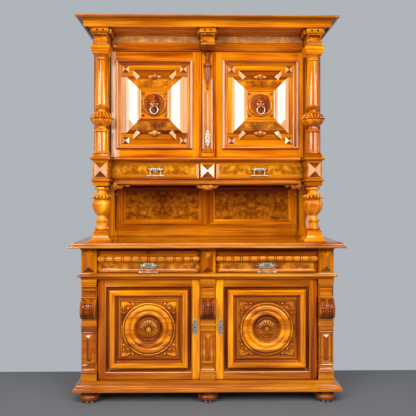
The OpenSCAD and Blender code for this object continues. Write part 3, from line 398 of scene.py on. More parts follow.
# %% The mesh maker
class Piece:
    """Boards, mouldings and turnings of one piece, in millimetres."""

    def __init__(self, *finishes):
        self.finishes = finishes or (WALNUT,)
        self.points, self.grain, self.faces, self.finish = [], [], [], []
        self.count = 0

    def add(self, points, faces, axis="x", finish=0, match=None):
        """match mirrors the grain about a plane of x, as book-matched veneer is laid."""
        points = np.asarray(points, float).reshape(-1, 3)
        grain = points.copy()
        if match is not None:
            grain[:, 0] = abs(grain[:, 0] - match)
        shift = [chance.uniform(-2, 2) for _ in range(3)]
        self.points.append(points)
        self.grain.append(grain[:, ALONG[axis]] * MM + shift)
        self.faces += [[i + self.count for i in face] for face in faces]
        self.finish += [finish] * len(faces) if isinstance(finish, int) else list(finish)
        self.count += len(points)

    def grid(self, x, y, z, wrap=False, **how):
        """A sheet through a grid of points; wrap joins its last column to its first."""
        x, y, z = np.broadcast_arrays(x, y, z)
        rows, cols = x.shape
        ids = np.arange(rows * cols).reshape(rows, cols)
        if wrap:
            ids = np.hstack([ids, ids[:, :1]])
        quads = np.stack([ids[:-1, :-1], ids[:-1, 1:], ids[1:, 1:], ids[1:, :-1]], -1)
        self.add(np.stack([x, y, z], -1), quads.reshape(-1, 4).tolist(), **how)

    def push(self, outline, a, b, along="x", axis=None, finish=0, holes=()):
        """An outline in the two other axes, pushed from a to b, with holes right through."""
        loops = [list(outline)] + [list(h) for h in holes]
        flat = [p for loop in loops for p in loop]
        n = len(flat)
        spot = {"x": lambda p, d: (d, *p), "y": lambda p, d: (p[0], d, p[1]),
                "z": lambda p, d: (*p, d)}[along]
        points = [spot(p, a) for p in flat] + [spot(p, b) for p in flat]
        faces, start = [], 0
        for loop in loops:
            m = len(loop)
            faces += [[start + i, start + (i + 1) % m, start + (i + 1) % m + n, start + i + n]
                      for i in range(m)]
            start += m
        caps = caps_of(*loops)
        faces += caps + [[i + n for i in reversed(t)] for t in caps]
        self.add(points, faces, axis or along, finish)

    def block(self, low, high, axis="x", finish=0):
        self.push([(low[1], low[2]), (high[1], low[2]), (high[1], high[2]), (low[1], high[2])],
                  low[0], high[0], "x", axis, finish)

    def around(self, profile, half, front, back, floor, at=0, strips=0, match=None, well=None):
        """A moulding mitred round the right, front and left of a block at x = at. strips gives
        each strip of its front a finish, and match mirrors the front's grain. well is the
        outline, in (x, y), of a hole right through."""
        out, up = np.array(profile, float).T
        up = up + floor
        for s in (1, -1):
            side = np.stack([at + s * (half + out)] * 2, -1)
            depth = np.stack([np.full(len(out), back), front - out], -1)
            self.grid(side, depth, up[:, None], axis="y")
        ends = [at + half + out, at - half - out]
        if match is not None:
            ends.insert(1, np.full(len(out), match))
            strips = np.repeat(strips, 2).tolist()
        self.grid(np.stack(ends, -1), (front - out)[:, None], up[:, None], axis="x", finish=strips,
                  match=match)
        for k in (0, -1):
            o, z = out[k], up[k]
            loops = [[(at - half - o, back), (at + half + o, back), (at + half + o, front - o),
                      (at - half - o, front - o)]] + ([well] if well else [])
            self.add([(*p, z) for loop in loops for p in loop], caps_of(*loops))
        if well:
            x, y = np.array(well).T
            self.grid(x, y, up[[0, -1], None], wrap=True)

    def frame(self, x, z, w, h, profile, y, finish=0, fill=None, axes=None, out_of=0):
        """A mitred moulding round a rectangle on an upright face: profile holds (inset, out).
        fill closes the middle with that finish. out_of 1 or -1 puts it on a face that looks
        right or left, and then x is how far back its middle is and y where the face is."""
        inset, out = np.array(profile, float).T
        a, b = w / 2 - inset, h / 2 - inset
        depth = (y + out_of * out if out_of else y - out)[:, None]
        for side in "trbl":
            s = 1 if side in "tr" else -1
            if side in "tb":
                across, up = x + np.stack([-a, a], -1), (z + s * b)[:, None]
            else:
                across, up = (x + s * a)[:, None], z + np.stack([-b, b], -1)
            axis = (axes or {}).get(side, "x" if side in "tb" else "z")
            flat = (depth, across) if out_of else (across, depth)
            self.grid(*flat, up, axis=axis, finish=finish if isinstance(finish, int) else finish[side])
        if fill is not None:
            a, b, d = a[-1], b[-1], depth[-1, 0]
            across, up = np.array([x - a, x, x + a]), np.array([[z - b], [z + b]])
            flat = (d, across) if out_of else (across, d)
            self.grid(*flat, up, axis="x", finish=fill, match=None if out_of else x)

    def along(self, profile, a, b, front, back, floor, strips=None, match=None):
        """A straight moulding from x = a to b: profile holds (out, up) from the floor up."""
        outline = [(front - out, floor + up) for out, up in profile]
        outline += [(back, outline[-1][1]), (back, outline[0][1])]
        cuts = np.array([a, b] if match is None else [a, match, b], float)[:, None]
        y, z = np.array(outline).T
        strips = 0 if strips is None else (list(strips) + [0] * 3) * (len(cuts) - 1)
        self.grid(cuts, y, z, wrap=True, finish=strips, match=match)
        for x in (a, b):
            self.add([(x, *p) for p in outline], caps_of(outline))

    def carved(self, x, half, front, rows, relief, steps, grooves, finish=0):
        """A carved face: rows holds (out, height), and relief(across, height, out) gives how
        far each point stands out. Its sides are closed back to the front plane. grooves holds
        (depth, finish): what is cut deeper than that has its own finish."""
        out, up = np.array(rows, float).T
        across = np.linspace(-half, half, steps)
        depth = relief(across[None, :], up[:, None], out[:, None]) + 0 * across
        finish = np.broadcast_to(np.reshape(finish, (-1, 1)), (len(up) - 1, steps - 1))
        finish = np.where((out[:, None] - depth)[:-1, :-1] > grooves[0], grooves[1], finish)
        self.grid(x + across, front - depth, up[:, None], axis="z", finish=finish.ravel().tolist())
        for s in (0, -1):
            side = np.stack([np.zeros(len(up)), depth[:, s]], -1)
            self.grid(x + across[s], front - side, up[:, None], axis="z")

    def turn(self, profile, x, y, z, steps=64, carve=None, facing="z", axis=None, finish=0,
             grooves=None):
        """A turning about an upright axis, or with facing "y" about one that points out of
        the front. carve(angle, height) gives what is added to the radius there; grooves holds
        (depth, finish) for what it cuts deeper than that."""
        radius, height = np.array(profile, float).T
        angle = np.arange(steps) * 2 * math.pi / steps
        r = np.repeat(radius[:, None], steps, 1)
        if carve:
            cut = carve(angle[None, :], height[:, None]) * (r > 0.01)
            r = r + cut
            if grooves:
                finish = np.where(cut[:-1] < -grooves[0], grooves[1], finish).ravel().tolist()
        a, b = r * np.cos(angle), r * np.sin(angle)
        up = np.repeat(height[:, None], steps, 1)
        if facing == "z":
            self.grid(x + a, y + b, z + up, wrap=True, axis=axis or "z", finish=finish)
        else:
            self.grid(x + a, y - up, z + b, wrap=True, axis=axis or "x", finish=finish)

    def square(self, profile, x, y, floor):
        """A square block with a moulded outline: profile holds (half width, height)."""
        half, up = np.array(profile, float).T
        a = half[:, None] * (1, -1, -1, 1)
        b = half[:, None] * (1, 1, -1, -1)
        self.grid(x + a, y + b, (floor + up)[:, None], wrap=True)
        for k in (0, -1):
            self.add(np.stack([x + a[k], y + b[k], np.full(4, floor + up[k])], -1), [[0, 1, 2, 3]])

    def tube(self, path, radius, sides=12, closed=False, finish=0, axis="x"):
        """A rod along a path; radius can be one number or one per point."""
        p = np.asarray(path, float)
        ahead = np.roll(p, -1, 0) - np.roll(p, 1, 0)
        if not closed:
            ahead[0], ahead[-1] = p[1] - p[0], p[-1] - p[-2]
        ahead /= np.linalg.norm(ahead, axis=1)[:, None]
        steep = abs(ahead).max(0)
        up = np.eye(3)[2 if steep[2] < 0.95 else 1 if steep[1] < 0.95 else 0]
        u = np.cross(ahead, up)
        u /= np.linalg.norm(u, axis=1)[:, None]
        v = np.cross(u, ahead)
        angle = np.arange(sides) * 2 * math.pi / sides
        r = np.broadcast_to(np.asarray(radius, float), len(p))[:, None, None]
        ring = p[:, None] + r * (u[:, None] * np.cos(angle)[:, None]
                                 + v[:, None] * np.sin(angle)[:, None])
        if closed:
            ring = np.concatenate([ring, ring[:1]])
        self.grid(ring[..., 0], ring[..., 1], ring[..., 2], wrap=True, axis=axis, finish=finish)
        if not closed:
            first, last = self.count - len(p) * sides, self.count - sides
            self.faces += [[first + i for i in reversed(range(sides))], [last + i for i in range(sides)]]
            self.finish += [finish, finish]

    def make(self, name, body, replaces, bevel=0.0, angle=24):
        """The finished object. What is for the left was drawn for the right, and is mirrored."""
        points = np.concatenate(self.points) * MM
        grain = np.concatenate(self.grain)
        faces = self.faces
        if "_left_" in name:
            points = points * (-1, 1, 1)
            faces = [f[::-1] for f in faces]
            grain = grain + (0.37, 0.61, 0.83)
        mesh = bpy.data.meshes.new(name)
        mesh.from_pydata(points.tolist(), [], faces)
        mesh.attributes.new("grain", "FLOAT_VECTOR", "POINT").data.foreach_set(
            "vector", grain.astype(np.float32).ravel())
        for finish in self.finishes:
            mesh.materials.append(finish)
        mesh.polygons.foreach_set("material_index", self.finish)
        shell = bmesh.new()
        shell.from_mesh(mesh)
        bmesh.ops.recalc_face_normals(shell, faces=shell.faces)
        shell.to_mesh(mesh)
        shell.free()
        mesh.polygons.foreach_set("use_smooth", [True] * len(mesh.polygons))
        mesh.set_sharp_from_angle(angle=math.radians(angle))
        made = bpy.data.objects.new(name, mesh)
        scene.collection.objects.link(made)
        if bevel:
            rounded = made.modifiers.new("worn_edges", "BEVEL")
            rounded.width, rounded.segments = bevel * MM, 2
            rounded.limit_method, rounded.angle_limit = "ANGLE", math.radians(angle)
            rounded.harden_normals = True
        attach(made, body)
        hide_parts(replaces)


print("mesh maker ready")

# %% [markdown]
# The long mouldings wrap round the front and both sides with mitred corners, so their grain
# turns the corner with them. Each profile holds (overhang, height) points from the bottom up.
# The heights of the floor of each part are kept together, as on a rod that a joiner marks out.

# %% Cornice, worktop, waist rail and plinth
SIDES = ("left", "right")
BACK, BASE_HALF, BASE_FRONT = 300, 795, -235
PLINTH_Z, BASE_Z, WAIST_Z, DIE_Z, WORKTOP_Z, NICHE_Z = 78, 136, 773, 810, 972, 1006
CASE_Z, FRIEZE_Z, CORNICE_Z = 1367, 2249, 2357
CORNICE = ([(-330, 0), (-122, 0), (-119, 6), (-66, 6), (-64, 14), (-55, 14), (-53, 2), (-48, 0), (-44, 6),
            (-42, 9), (-42, 38), (-36, 39), (-36, 43)]
           + arc(-31, 49, 7, -60, 60, 6)
           + smooth([(-22, 48), (-17, 46.5), (-11, 48.5), (-6, 53)], 4) + [(-1, 53), (0, 54), (0, 62)])
# Painted light and shade: the lit copy brightens the low mouldings under the overhang, the shaded copy its
# top hollow.
cornice = Piece(WALNUT, LIT_WALNUT, SHADED)
cornice.around(CORNICE, 821, -288, BACK, CORNICE_Z, strips=banded(CORNICE, 1, (43, 50, 2), (0, 9, 1)))
cornice.make("cornice_moulding", "carcass", "cornice", bevel=0.8)

top = Piece()
top.around([(57, 0)] + arc(58, 7, 7, -75, 75, 8) + [(54.5, 14.5), (52, 15.5)]
           + arc(37, 19, 15, -8, 90, 8), BASE_HALF, BASE_FRONT, BACK, WORKTOP_Z)
top.make("worktop_board", "carcass", "worktop", bevel=0.5)

rail = Piece()
rail.around([(1, 0), (1, 10), (5, 10.5), (7, 13)] + arc(12, 22, 8, -70, 70, 8)
            + [(13, 32), (9, 34), (5, 34.5), (4, 37)], BASE_HALF, BASE_FRONT, BACK, WAIST_Z)
rail.make("waist_moulding", "carcass", "waist_rail", bevel=0.5)

plinth = Piece()
plinth.around([(46, 0), (46, 11), (43, 12.5)] + smooth([(43, 14), (41, 21), (34, 26), (27, 30),
              (24, 36)], 4) + [(19, 37), (12, 38), (12, 47), (5, 48), (5, 58)],
              BASE_HALF, BASE_FRONT, BACK, PLINTH_Z,
              well=[(-745, -190), (745, -190), (745, 270), (-745, 270)])
plinth.make("plinth_moulding", "carcass", "plinth", bevel=0.8)
print("long mouldings made")

# %% [markdown]
# Three pilasters carry the base. Plain mouldings wrap round each, a long hipped pyramid
# fills the pier, and above it a console rolls forward with two strings of beads in its flutes.

# %% Hipped pyramids
def facets(top, bottom, sides):
    return {"t": top, "b": bottom, "l": sides, "r": sides}


def hip(piece, x, z, w, h, rise, y, finish):
    """A pyramid with a hipped ridge on an upright face."""
    piece.frame(x, z, w, h, [(0, -1), (0, 0), (min(w, h) / 2, rise)], y, finish,
                axes={"t": "z", "b": "z"})


# %% Pilasters
PILASTERS = (-746, 0, 746)
PIER_HALF, PIER_BACK, BLOCK_FACE = 49, -175, -231
PILASTER = ([(10, 0), (10, 44), (8, 46)] + arc(6, 53, 6, -80, 80, 5) + [(5, 60), (5, 64)]
            + smooth([(4, 66), (0, 72), (-3, 82)], 3)
            + [(-3, 88), (2, 90), (4, 94), (2, 98), (-2, 99), (-2, 103), (5, 105)]
            + [(5, 310), (9, 313), (9, 325), (5, 327), (5, 338), (11, 341), (12, 350), (8, 354),
               (8, 386), (8, 516)] + arc(8, 521, 4, -70, 70, 4)
            + [(4, 527), (-2, 530), (-2, 560), (1, 563), (1, 580), (-5, 582), (-5, 588),
               (5, 589), (5, 597), (2, 598), (2, 600), (8, 601), (8, 608), (10, 610), (10, 637)])
# Painted light and shade: each pier's pyramid has a lit top facet, a deep-shade bottom and shaded sides.
pilasters = Piece(WALNUT, DEEP_SHADE_WALNUT, LIT_WALNUT, SHADED)
for x in PILASTERS:
    pilasters.around(PILASTER, 39, -229, -221, BASE_Z, at=x)
    pilasters.block((x - PIER_HALF, -223, BASE_Z), (x + PIER_HALF, PIER_BACK, WAIST_Z), "z")
    hip(pilasters, x, 340, 62, 190, 15, -227, facets(2, 1, 3))
    # The sunk frame round the pyramid takes the shaded copy, painted shade.
    pilasters.frame(x, 340, 74, 202, [(-1, 0), (0, 3), (2, 4), (4, 3), (6, -9)], -234, finish=3)


# %% Beaded consoles
def beaded(across, up, out):
    """Two flutes with a string of beads in each, between plain rolls."""
    from_flute = abs(abs(across) - 17)
    flute = np.clip(1 - (from_flute / 9) ** 2, 0, None) ** 0.5 * 9
    groove = np.exp(-((abs(across) - 33) / 2.0) ** 2) * 5 + np.exp(-(across / 2.0) ** 2) * 4
    at = (up / 17 + 0.5) % 1 - 0.5
    bead = np.clip(1 - (from_flute / 7.5) ** 2 - (at * 17 / 7.5) ** 2, 0, None) ** 0.5 * 12
    rib = 1.2 * np.cos(up * 2 * np.pi / 6.5) * (abs(across) > 35)
    edge = np.clip((abs(across) - 45) / 4, 0, 1) ** 2 * 3
    rim = np.clip(out / 16, 0, 1)
    return out - (flute + groove + edge - bead - rib) * rim


CONSOLE = [(0, 524)] + smooth([(10, 525), (30, 531), (46, 548), (54, 572), (52, 598),
                               (40, 624), (24, 640), (14, 650)], 14) + [(0, 652)]
# Painted shade: the console's lower half and flutes take the deep copy, its upper half the shaded copy.
for x in PILASTERS:
    pilasters.carved(x, PIER_HALF, -225, CONSOLE, beaded, steps=99, grooves=(4, 1),
                     finish=banded(CONSOLE, 1, (0, 565, 1), (565, 700, 3)))
pilasters.make("pilasters", "carcass", "base_pilasters", bevel=0.5, angle=32)

# Painted light and shade: each die's pyramid has a lit top facet and a deep-shade bottom one.
dies = Piece(WALNUT, DEEP_SHADE_WALNUT, LIT_WALNUT)
for x in PILASTERS:
    dies.block((x - PIER_HALF, BLOCK_FACE, DIE_Z), (x + PIER_HALF, PIER_BACK, WORKTOP_Z), "z")
    hip(dies, x, 882, 68, 126, 24, BLOCK_FACE, facets(2, 1, 0))
    dies.around([(0, 0), (5, 2), (6, 8), (3, 12), (0, 14)], PIER_HALF, BLOCK_FACE, -228, 958, at=x)
# The rails between the dies, under the worktop's edge, take the deep copy as a painted shadow.
for s in (-1, 1):
    low, high = sorted((s * PIER_HALF, s * (PILASTERS[2] - PIER_HALF)))
    dies.block((low, -227, 950), (high, PIER_BACK, WORKTOP_Z), finish=1)
dies.make("drawer_dies", "carcass", "base_dies", bevel=0.5)

# %% [markdown]
# Six turned feet carry the weight, three in front under the pilasters and three behind them.
# A foot is one profile on the lathe: a squashed ball between a small pad and a collar.

# %% Bun feet
# The feet take the deep copy of the walnut, which paints shade on them.
feet = Piece(DEEP_SHADE_WALNUT)
FOOT = ([(0, 0), (36, 0), (40, 2)] + smooth([(42, 5), (40, 9)], 3)
        + smooth([(44, 11), (58, 19), (64, 33), (60, 47), (48, 56)], 5)
        + [(44, 58), (44, 62), (50, 65), (50, 78), (0, 78)])
for x in PILASTERS:
    for y in (-210, 225):
        feet.turn(FOOT, x, y, 0, steps=56)
feet.make("turned_feet", "carcass", "bun_feet")
print("pilasters, dies and feet made")

# %% [markdown]
# A base door is a frame with a wide sunk and raised moulding round a carved panel. The
# moulding is one profile mitred round a rectangle; the flat stiles run past the rails.

# %% Base door frames
DOOR_FACE, DOOR_BACK, DOOR_FOOT, DOOR_TOP = -223, -199, 139, 770
DOOR_X, DOOR_Z, DOOR_RAIL, PANEL_FACE = 373, 454.5, 40, -211
DOOR_MOULDING = ([(0, -24), (0, 0), (1, 3), (4, 4), (7, 2), (8, -5)]
                 + smooth([(9, -8), (12, -16), (19, -20), (27, -19)], 4)
                 + [(28, -17), (28.5, -4), (30, 1), (33, 4.5), (37, 6), (56, 6), (60, 4.5), (62, 1),
                    (62.5, -3), (66, -3.5), (66.5, -9)]
                 + smooth([(67, -11), (71, -16), (79, -17), (86, -12)], 4)
                 + [(87, -7), (89, -4), (92, -3), (95, -4), (97, -7), (98, -11), (100, -15), (100, -24),
                    (0, -24)])


def base_door(side):
    # Painted light and shade: the raised band and inner stile are highlit, the coves and hinge stile shaded.
    frame_piece = Piece(WALNUT, HIGHLIT_WALNUT, SHADED)
    frame_piece.push([(649, DOOR_BACK), (649, DOOR_FACE), (684, DOOR_FACE)]
                     + arc(684, DOOR_FACE + 11, 11, -90, 0, 8) + [(695, DOOR_BACK)],
                     DOOR_FOOT, DOOR_TOP, "z", finish=2)
    frame_piece.block((51, DOOR_FACE, DOOR_FOOT), (97, DOOR_BACK, DOOR_TOP), "z", finish=1)
    for low in (DOOR_FOOT, DOOR_TOP - DOOR_RAIL):
        frame_piece.block((97, DOOR_FACE, low), (649, DOOR_BACK, low + DOOR_RAIL))
    strips = banded(DOOR_MOULDING, 0, (28.5, 62, 1), (8, 28, 2), (67, 86, 2))
    frame_piece.frame(DOOR_X, DOOR_Z, 552, 551, DOOR_MOULDING, DOOR_FACE,
                      finish=dict.fromkeys("trbl", strips))
    frame_piece.make(f"base_{side}_frame", f"base_{side}_door", f"base_{side}_door_frame",
                     bevel=0.5)


# %% [markdown]
# The panel's corners are carved with a three-lobed leaf and three beads. A carving this low is
# a height field: numpy gives each point of a grid its height, and the grid becomes the face.

# %% Carved spandrel panels
def lobe(x, z, at, turn, length, width):
    """The height, 0 to 1, of a leaf lobe that grows from at in the direction turn, in degrees."""
    c, s = math.cos(math.radians(turn)), math.sin(math.radians(turn))
    u = ((x - at[0]) * c + (z - at[1]) * s) / length
    v = ((z - at[1]) * c - (x - at[0]) * s) / width
    body = np.clip(1 - v ** 2 / np.clip(np.sin(np.pi * np.clip(u, 0, 1) ** 0.75), 1e-3, 1) ** 2, 0, 1)
    vein = 1 - 0.45 * np.exp(-(v / 0.16) ** 2)
    return np.where((u > 0) & (u < 1), body ** 0.5 * vein, 0)


def bead(x, z, at, r):
    return np.clip(1 - ((x - at[0]) ** 2 + (z - at[1]) ** 2) / r ** 2, 0, 1) ** 0.5


def spandrel_panel(side):
    half = 182
    across = np.linspace(-half, half, 185)
    x, z = np.meshgrid(across, across)
    u, v = 176 - abs(x), 176 - abs(z)
    height = np.zeros_like(x)
    for turn, length, width in ((16, 62, 9), (45, 46, 10), (74, 62, 9), (30, 34, 6), (60, 34, 6)):
        height = np.maximum(height, 9 * lobe(u, v, (5, 5), turn, length, width))
    for at, r in (((76, 17), 8), ((46, 46), 8), ((17, 76), 8), ((96, 11), 5), ((11, 96), 5)):
        height = np.maximum(height, 11 * bead(u, v, at, r))
    rim = np.minimum(u, v)
    height = np.maximum(height * 1.25, np.where(rim < 4, 4.0, 0)) - 3
    height = np.where(np.hypot(x, z) < 100, -6.2, height)
    low = (height[:-1, :-1] < -2.5) & (rim[:-1, :-1] > 5)
    # Painted light and shade: the carved leaves and beads are highlit, the sunk ground between them shaded.
    panel = Piece(HIGHLIT_WALNUT, SHADED)
    panel.grid(DOOR_X + x, -209 - height, DOOR_Z + z, match=DOOR_X, finish=low.astype(int).ravel().tolist())
    panel.block((DOOR_X - half, -202.6, DOOR_Z - half), (DOOR_X + half, -201, DOOR_Z + half))
    panel.make(f"base_{side}_carved_panel", f"base_{side}_door", f"base_{side}_door_panel",
               angle=50)


# %% [markdown]
# The rondel is a turned plate with a broad rolled ring round a bowl, and in the bowl sits a
# rosette of sixteen petals round a button.

# %% Rondels with rosettes
RONDEL = ([(166, 0), (166, 6)] + arc(161.5, 8, 4.5, 0, 170, 5) + [(156, 4), (154.5, 4)]
          + smooth([(154, 6), (151, 14), (144, 20), (135, 22), (126, 19), (121, 14)], 4)
          + [(119, 12), (117, 12)]
          + smooth([(116, 13), (112, 17), (105, 19), (97, 18), (91, 11), (84, 3), (76, -5)], 4)
          + [(74, -6)] + arc(70, -1, 4, 0, 170, 4) + [(65, -4), (0, -4)])


def petals(angle, r):
    """Height of the rosette: sixteen rounded petals and a button."""
    ring = np.clip((r - 13) / 42, 0, 1)
    cut = abs(np.sin(8 * angle)) ** 0.55
    return 3 + 15 * np.sin(np.pi * np.clip(ring, 0, 1) ** 0.8 * 0.92 + 0.16) ** 0.7 * (0.25 + 0.75 * cut)


def rondel(side):
    # Painted light and shade: the plate is highlit, its bowl and the groove inside its rim shaded.
    plate = Piece(HIGHLIT_WALNUT, SHADED, WALNUT)
    strips = banded(RONDEL, 0, (58.1, 92, 1), (154.1, 156, 1))
    plate.turn(RONDEL, DOOR_X, PANEL_FACE, DOOR_Z, steps=120, facing="y",
               finish=np.repeat(strips, 120).tolist())
    angle = np.arange(160) * 2 * math.pi / 160
    r = np.linspace(56, 12, 22)[:, None]
    plate.grid(DOOR_X + r * np.cos(angle), PANEL_FACE - petals(angle, r), DOOR_Z + r * np.sin(angle),
               wrap=True, finish=2)
    plate.turn([(14, 4), (14, 15), (12, 18), (9, 18), (8, 15)] + arc(0, 13, 7, 20, 90, 4),
               DOOR_X, PANEL_FACE, DOOR_Z, steps=32, facing="y")
    plate.make(f"base_{side}_turned_rondel", f"base_{side}_door", f"base_{side}_rondel")


for side in SIDES:
    base_door(side)
    spandrel_panel(side)
    rondel(side)
print("base doors made")

# %% [markdown]
# Each base drawer front has a hollow burl band under a rod that is tied with pairs of rings.
# The mouldings return at both ends, so they wrap round like those of the case.

# %% Base drawer fronts
FRONT = ([(7, 0), (7, 3), (4, 4)] + arc(4, 10, 6, -60, 70, 5) + [(4, 17)]
         + smooth([(3, 18), (0, 24), (-2, 34), (-2, 50), (1, 60), (6, 66)], 5) + [(9, 67), (9, 69), (4, 70),
         (4, 107), (6, 109)] + smooth([(4, 112), (-2, 120), (0, 129), (5, 134)], 3) + [(8, 134), (8, 137)])
ROD_PITCH, ROD_R, ROD_HALF = 54, 17, 322
DRAWER_Z = 811.5


def base_drawer(side):
    # Painted light and shade: the rod is highlit and the hollow over it shaded; the keyhole is painted
    # shadow.
    front = Piece(WALNUT, DARK_BURL, HOLE_SHADOW, HIGHLIT_WALNUT, SHADED)
    front.block((50.5, -218, DRAWER_Z), (695.5, -201, DRAWER_Z + 137))
    front.around(FRONT, 300.5, DOOR_FACE, -216, DRAWER_Z, at=DOOR_X, match=DOOR_X,
                 strips=banded(FRONT, 1, (17, 66, 1), (107, 138, 4)))
    length = np.linspace(-ROD_HALF, ROD_HALF, 650)
    gap = abs((length + ROD_PITCH / 2) % ROD_PITCH - ROD_PITCH / 2)
    ringed = abs(length) < 5.6 * ROD_PITCH
    tied = ringed * np.exp(-((gap - 5.5) / 1.5) ** 2) * 6
    lift = ringed * np.exp(-(gap / 2.6) ** 2) * 1.5
    ends = np.clip((ROD_HALF - abs(length)) / 14, 0, 1)
    radius = (ROD_R - tied + lift) * np.sqrt(1 - (1 - ends) ** 2) + 0.3
    path = [(DOOR_X + u, DOOR_FACE - 5, DRAWER_Z + 88) for u in length]
    front.tube(path, radius, sides=22, finish=3)
    # The keyhole is a small near-black boss, painted shadow.
    front.turn([(4.5, 0), (4.5, 6), (3, 7), (2, 5.5), (0, 5.5)], DOOR_X, DOOR_FACE, 938, steps=24,
               facing="y", finish=2)
    front.make(f"base_{side}_front", f"base_{side}_drawer", f"base_{side}_drawer_front")


for side in SIDES:
    base_drawer(side)
print("base drawers made")

# %% [markdown]
# The columns are lathe work: a profile of (radius, height) spun round an axis. The carved
# bulbs get their gadroons while they are spun, because the radius may change with the angle.

# %% Turned columns
COLUMN_X, COLUMN_Y, DIE_HALF = 678, -165, 48


def gadroons(count, *bands):
    """Lobes round a turning. Each band holds (from height, to height, depth)."""
    def carve(angle, height):
        cut = 1 - abs(np.cos(angle * count / 2)) ** 0.7
        return -sum(cut * depth * np.clip((height - low) / 5, 0, 1) * np.clip((high - height) / 5, 0, 1)
                    for low, high, depth in bands)
    return carve


COLUMN = ([(0, 1562), (48, 1562)] + arc(45, 1571, 7.5, -70, 70, 6)
          + [(44, 1580), (43, 1586), (42, 1592), (42, 1699), (40, 1702)] + arc(40, 1710, 7, -75, 75, 6)
          + [(38, 1719), (32, 1725), (28, 1731), (27, 1740)]
          + smooth([(36, 1745), (52, 1753), (66, 1770), (70, 1783)], 5)
          + [(66, 1784.5)] + arc(68, 1792, 6, -80, 80, 8) + [(66, 1799.5)]
          + smooth([(68, 1802), (62, 1814), (48, 1825), (34, 1831)], 5)
          + [(27, 1834), (23, 1838), (22, 1848)]
          + smooth([(26, 1852), (36, 1858), (42, 1864)], 3) + arc(42, 1871, 5, -75, 75, 5)
          + smooth([(42, 1878), (42.5, 1900), (41.5, 1980), (39, 2080), (36, 2158)], 5)
          + arc(37, 2165, 5, -80, 80, 5) + [(36, 2172)] + smooth([(36, 2176), (39, 2184), (46, 2190)], 3)
          + [(50, 2194), (0, 2194)])
CAPITAL = ([(48, 0), (50, 3)] + smooth([(51, 5), (54, 14), (58, 18)], 3)
           + [(59, 21), (55, 22), (54, 26), (55, 30), (59, 33), (59, 55)])


def bulb_carving(angle, height):
    """Sixteen lobes on the shoulder of the bulb, and a string of beads round its middle."""
    bead = abs(np.cos(angle * 12)) ** 0.6 * np.sqrt(np.clip(1 - ((height - 1792) / 7) ** 2, 0, 1))
    return gadroons(16, (1801, 1830, 11))(angle, height) + 10 * (bead - 0.75) * (abs(height - 1792) < 6.5)


# Painted light and shade: the turnings take the highlit copy and their deep cuts the deep-shade copy.
columns = Piece(HIGHLIT_WALNUT, DEEP_SHADE_WALNUT)
for x in (-COLUMN_X, COLUMN_X):
    columns.turn(COLUMN, x, COLUMN_Y, 0, steps=144, carve=bulb_carving, grooves=(3.5, 1))
    columns.square(CAPITAL, x, COLUMN_Y, 2194)
columns.make("turned_columns", "carcass", "columns")

# %% [markdown]
# A vase stands at each front corner of the worktop, on a square foot. It is lathe work like the
# columns, and sixteen flutes are cut only into the belt above its bulb, where light catches them.

# %% Vase balusters
VASE = ([(0, 1078), (39, 1078)] + arc(38, 1090, 9, -75, 75, 6) + [(34, 1101), (33, 1106), (33, 1128)]
        + arc(34, 1139, 8, -75, 75, 6) + [(32, 1148), (28, 1156), (27, 1170)]
        + smooth([(31, 1175), (42, 1186), (55, 1208), (62, 1236), (60, 1256), (50, 1268)], 6)
        + [(45, 1271), (46, 1274)]
        + smooth([(52, 1276), (63, 1283), (66, 1290), (63, 1297), (52, 1304)], 4)
        + [(42, 1306), (34, 1311), (30, 1317), (29, 1332)] + arc(36, 1345, 9, -80, 80, 6)
        + [(34, 1356), (34, 1360), (0, 1360)])
BASE = ([(70, 0), (70, 10), (67, 13)] + smooth([(65, 15), (55, 24), (49, 36)], 4)
        + [(46, 37), (46, 70), (43, 72)])
# Painted light and shade: the turnings take the highlit copy and their deep cuts the deep-shade copy.
vases = Piece(HIGHLIT_WALNUT, DEEP_SHADE_WALNUT)
for x in (-COLUMN_X, COLUMN_X):
    vases.turn(VASE, x, COLUMN_Y, 0, steps=160, carve=gadroons(16, (1275, 1305, 11)), grooves=(5, 1))
    vases.square(BASE, x, COLUMN_Y, NICHE_Z)
vases.make("vase_turnings", "carcass", "vase_balusters")

# %% [markdown]
# A die is the square block between a vase and a column. Its face and its outer side each carry
# a low pyramid of four mitred facets, which a few corner points describe better than a carving.

# %% Dies between them
DIE_FRONT, DIE_MIDDLE, UPPER_FACE = -213, 1462, -70
DIE = ([(0, 0), (0, 20), (6, 21), (11, 24), (12, 29), (10, 33), (4, 36), (0, 37), (0, 153), (3, 154)]
       + smooth([(4, 155), (9, 157), (15, 161)], 3) + [(17, 162), (17, 170), (12, 173), (4, 174), (0, 174)])
# Painted light and shade: the pyramids' top and bottom facets are deep shade, their sides a painted sheen.
corner_dies = Piece(WALNUT, DEEP_SHADE_WALNUT, SHEEN_WALNUT)
FACETS = facets(1, 1, 2)
for s in (-1, 1):
    x = s * COLUMN_X
    corner_dies.around(DIE, DIE_HALF, DIE_FRONT, UPPER_FACE, CASE_Z, at=x)
    corner_dies.square([(48, 0), (48, 8)], x, COLUMN_Y, 1359)
    corner_dies.square([(48, 0), (48, 21)], x, COLUMN_Y, 1541)
    hip(corner_dies, x, DIE_MIDDLE, 76, 92, 18, DIE_FRONT, FACETS)
    corner_dies.frame(-141, DIE_MIDDLE, 120, 96, [(0, -1), (0, 0), (46, 14)], x + s * DIE_HALF,
                      out_of=s, fill=0)
corner_dies.make("pyramid_dies", "carcass", "corner_dies", bevel=0.5)
print("columns, vases and dies made")

# %% [markdown]
# The frieze has burl veneer in a long field over a fat ovolo. Three corbels stand in front of
# it: a head block with two bored holes over a hollow, fluted throat.

# %% Frieze and corbels
UPPER_HALF, STILE_BACK, MOULD_BACK = 723, -48, -60
FRIEZE = ([(4, 0), (9, 3)] + smooth([(11, 6), (19, 12), (24, 22), (25, 31)], 4)
          + [(18, 34), (18, 45), (13, 48), (10, 52), (7, 56), (7, 98), (10, 100), (16, 102), (22, 104),
             (24, 108)])
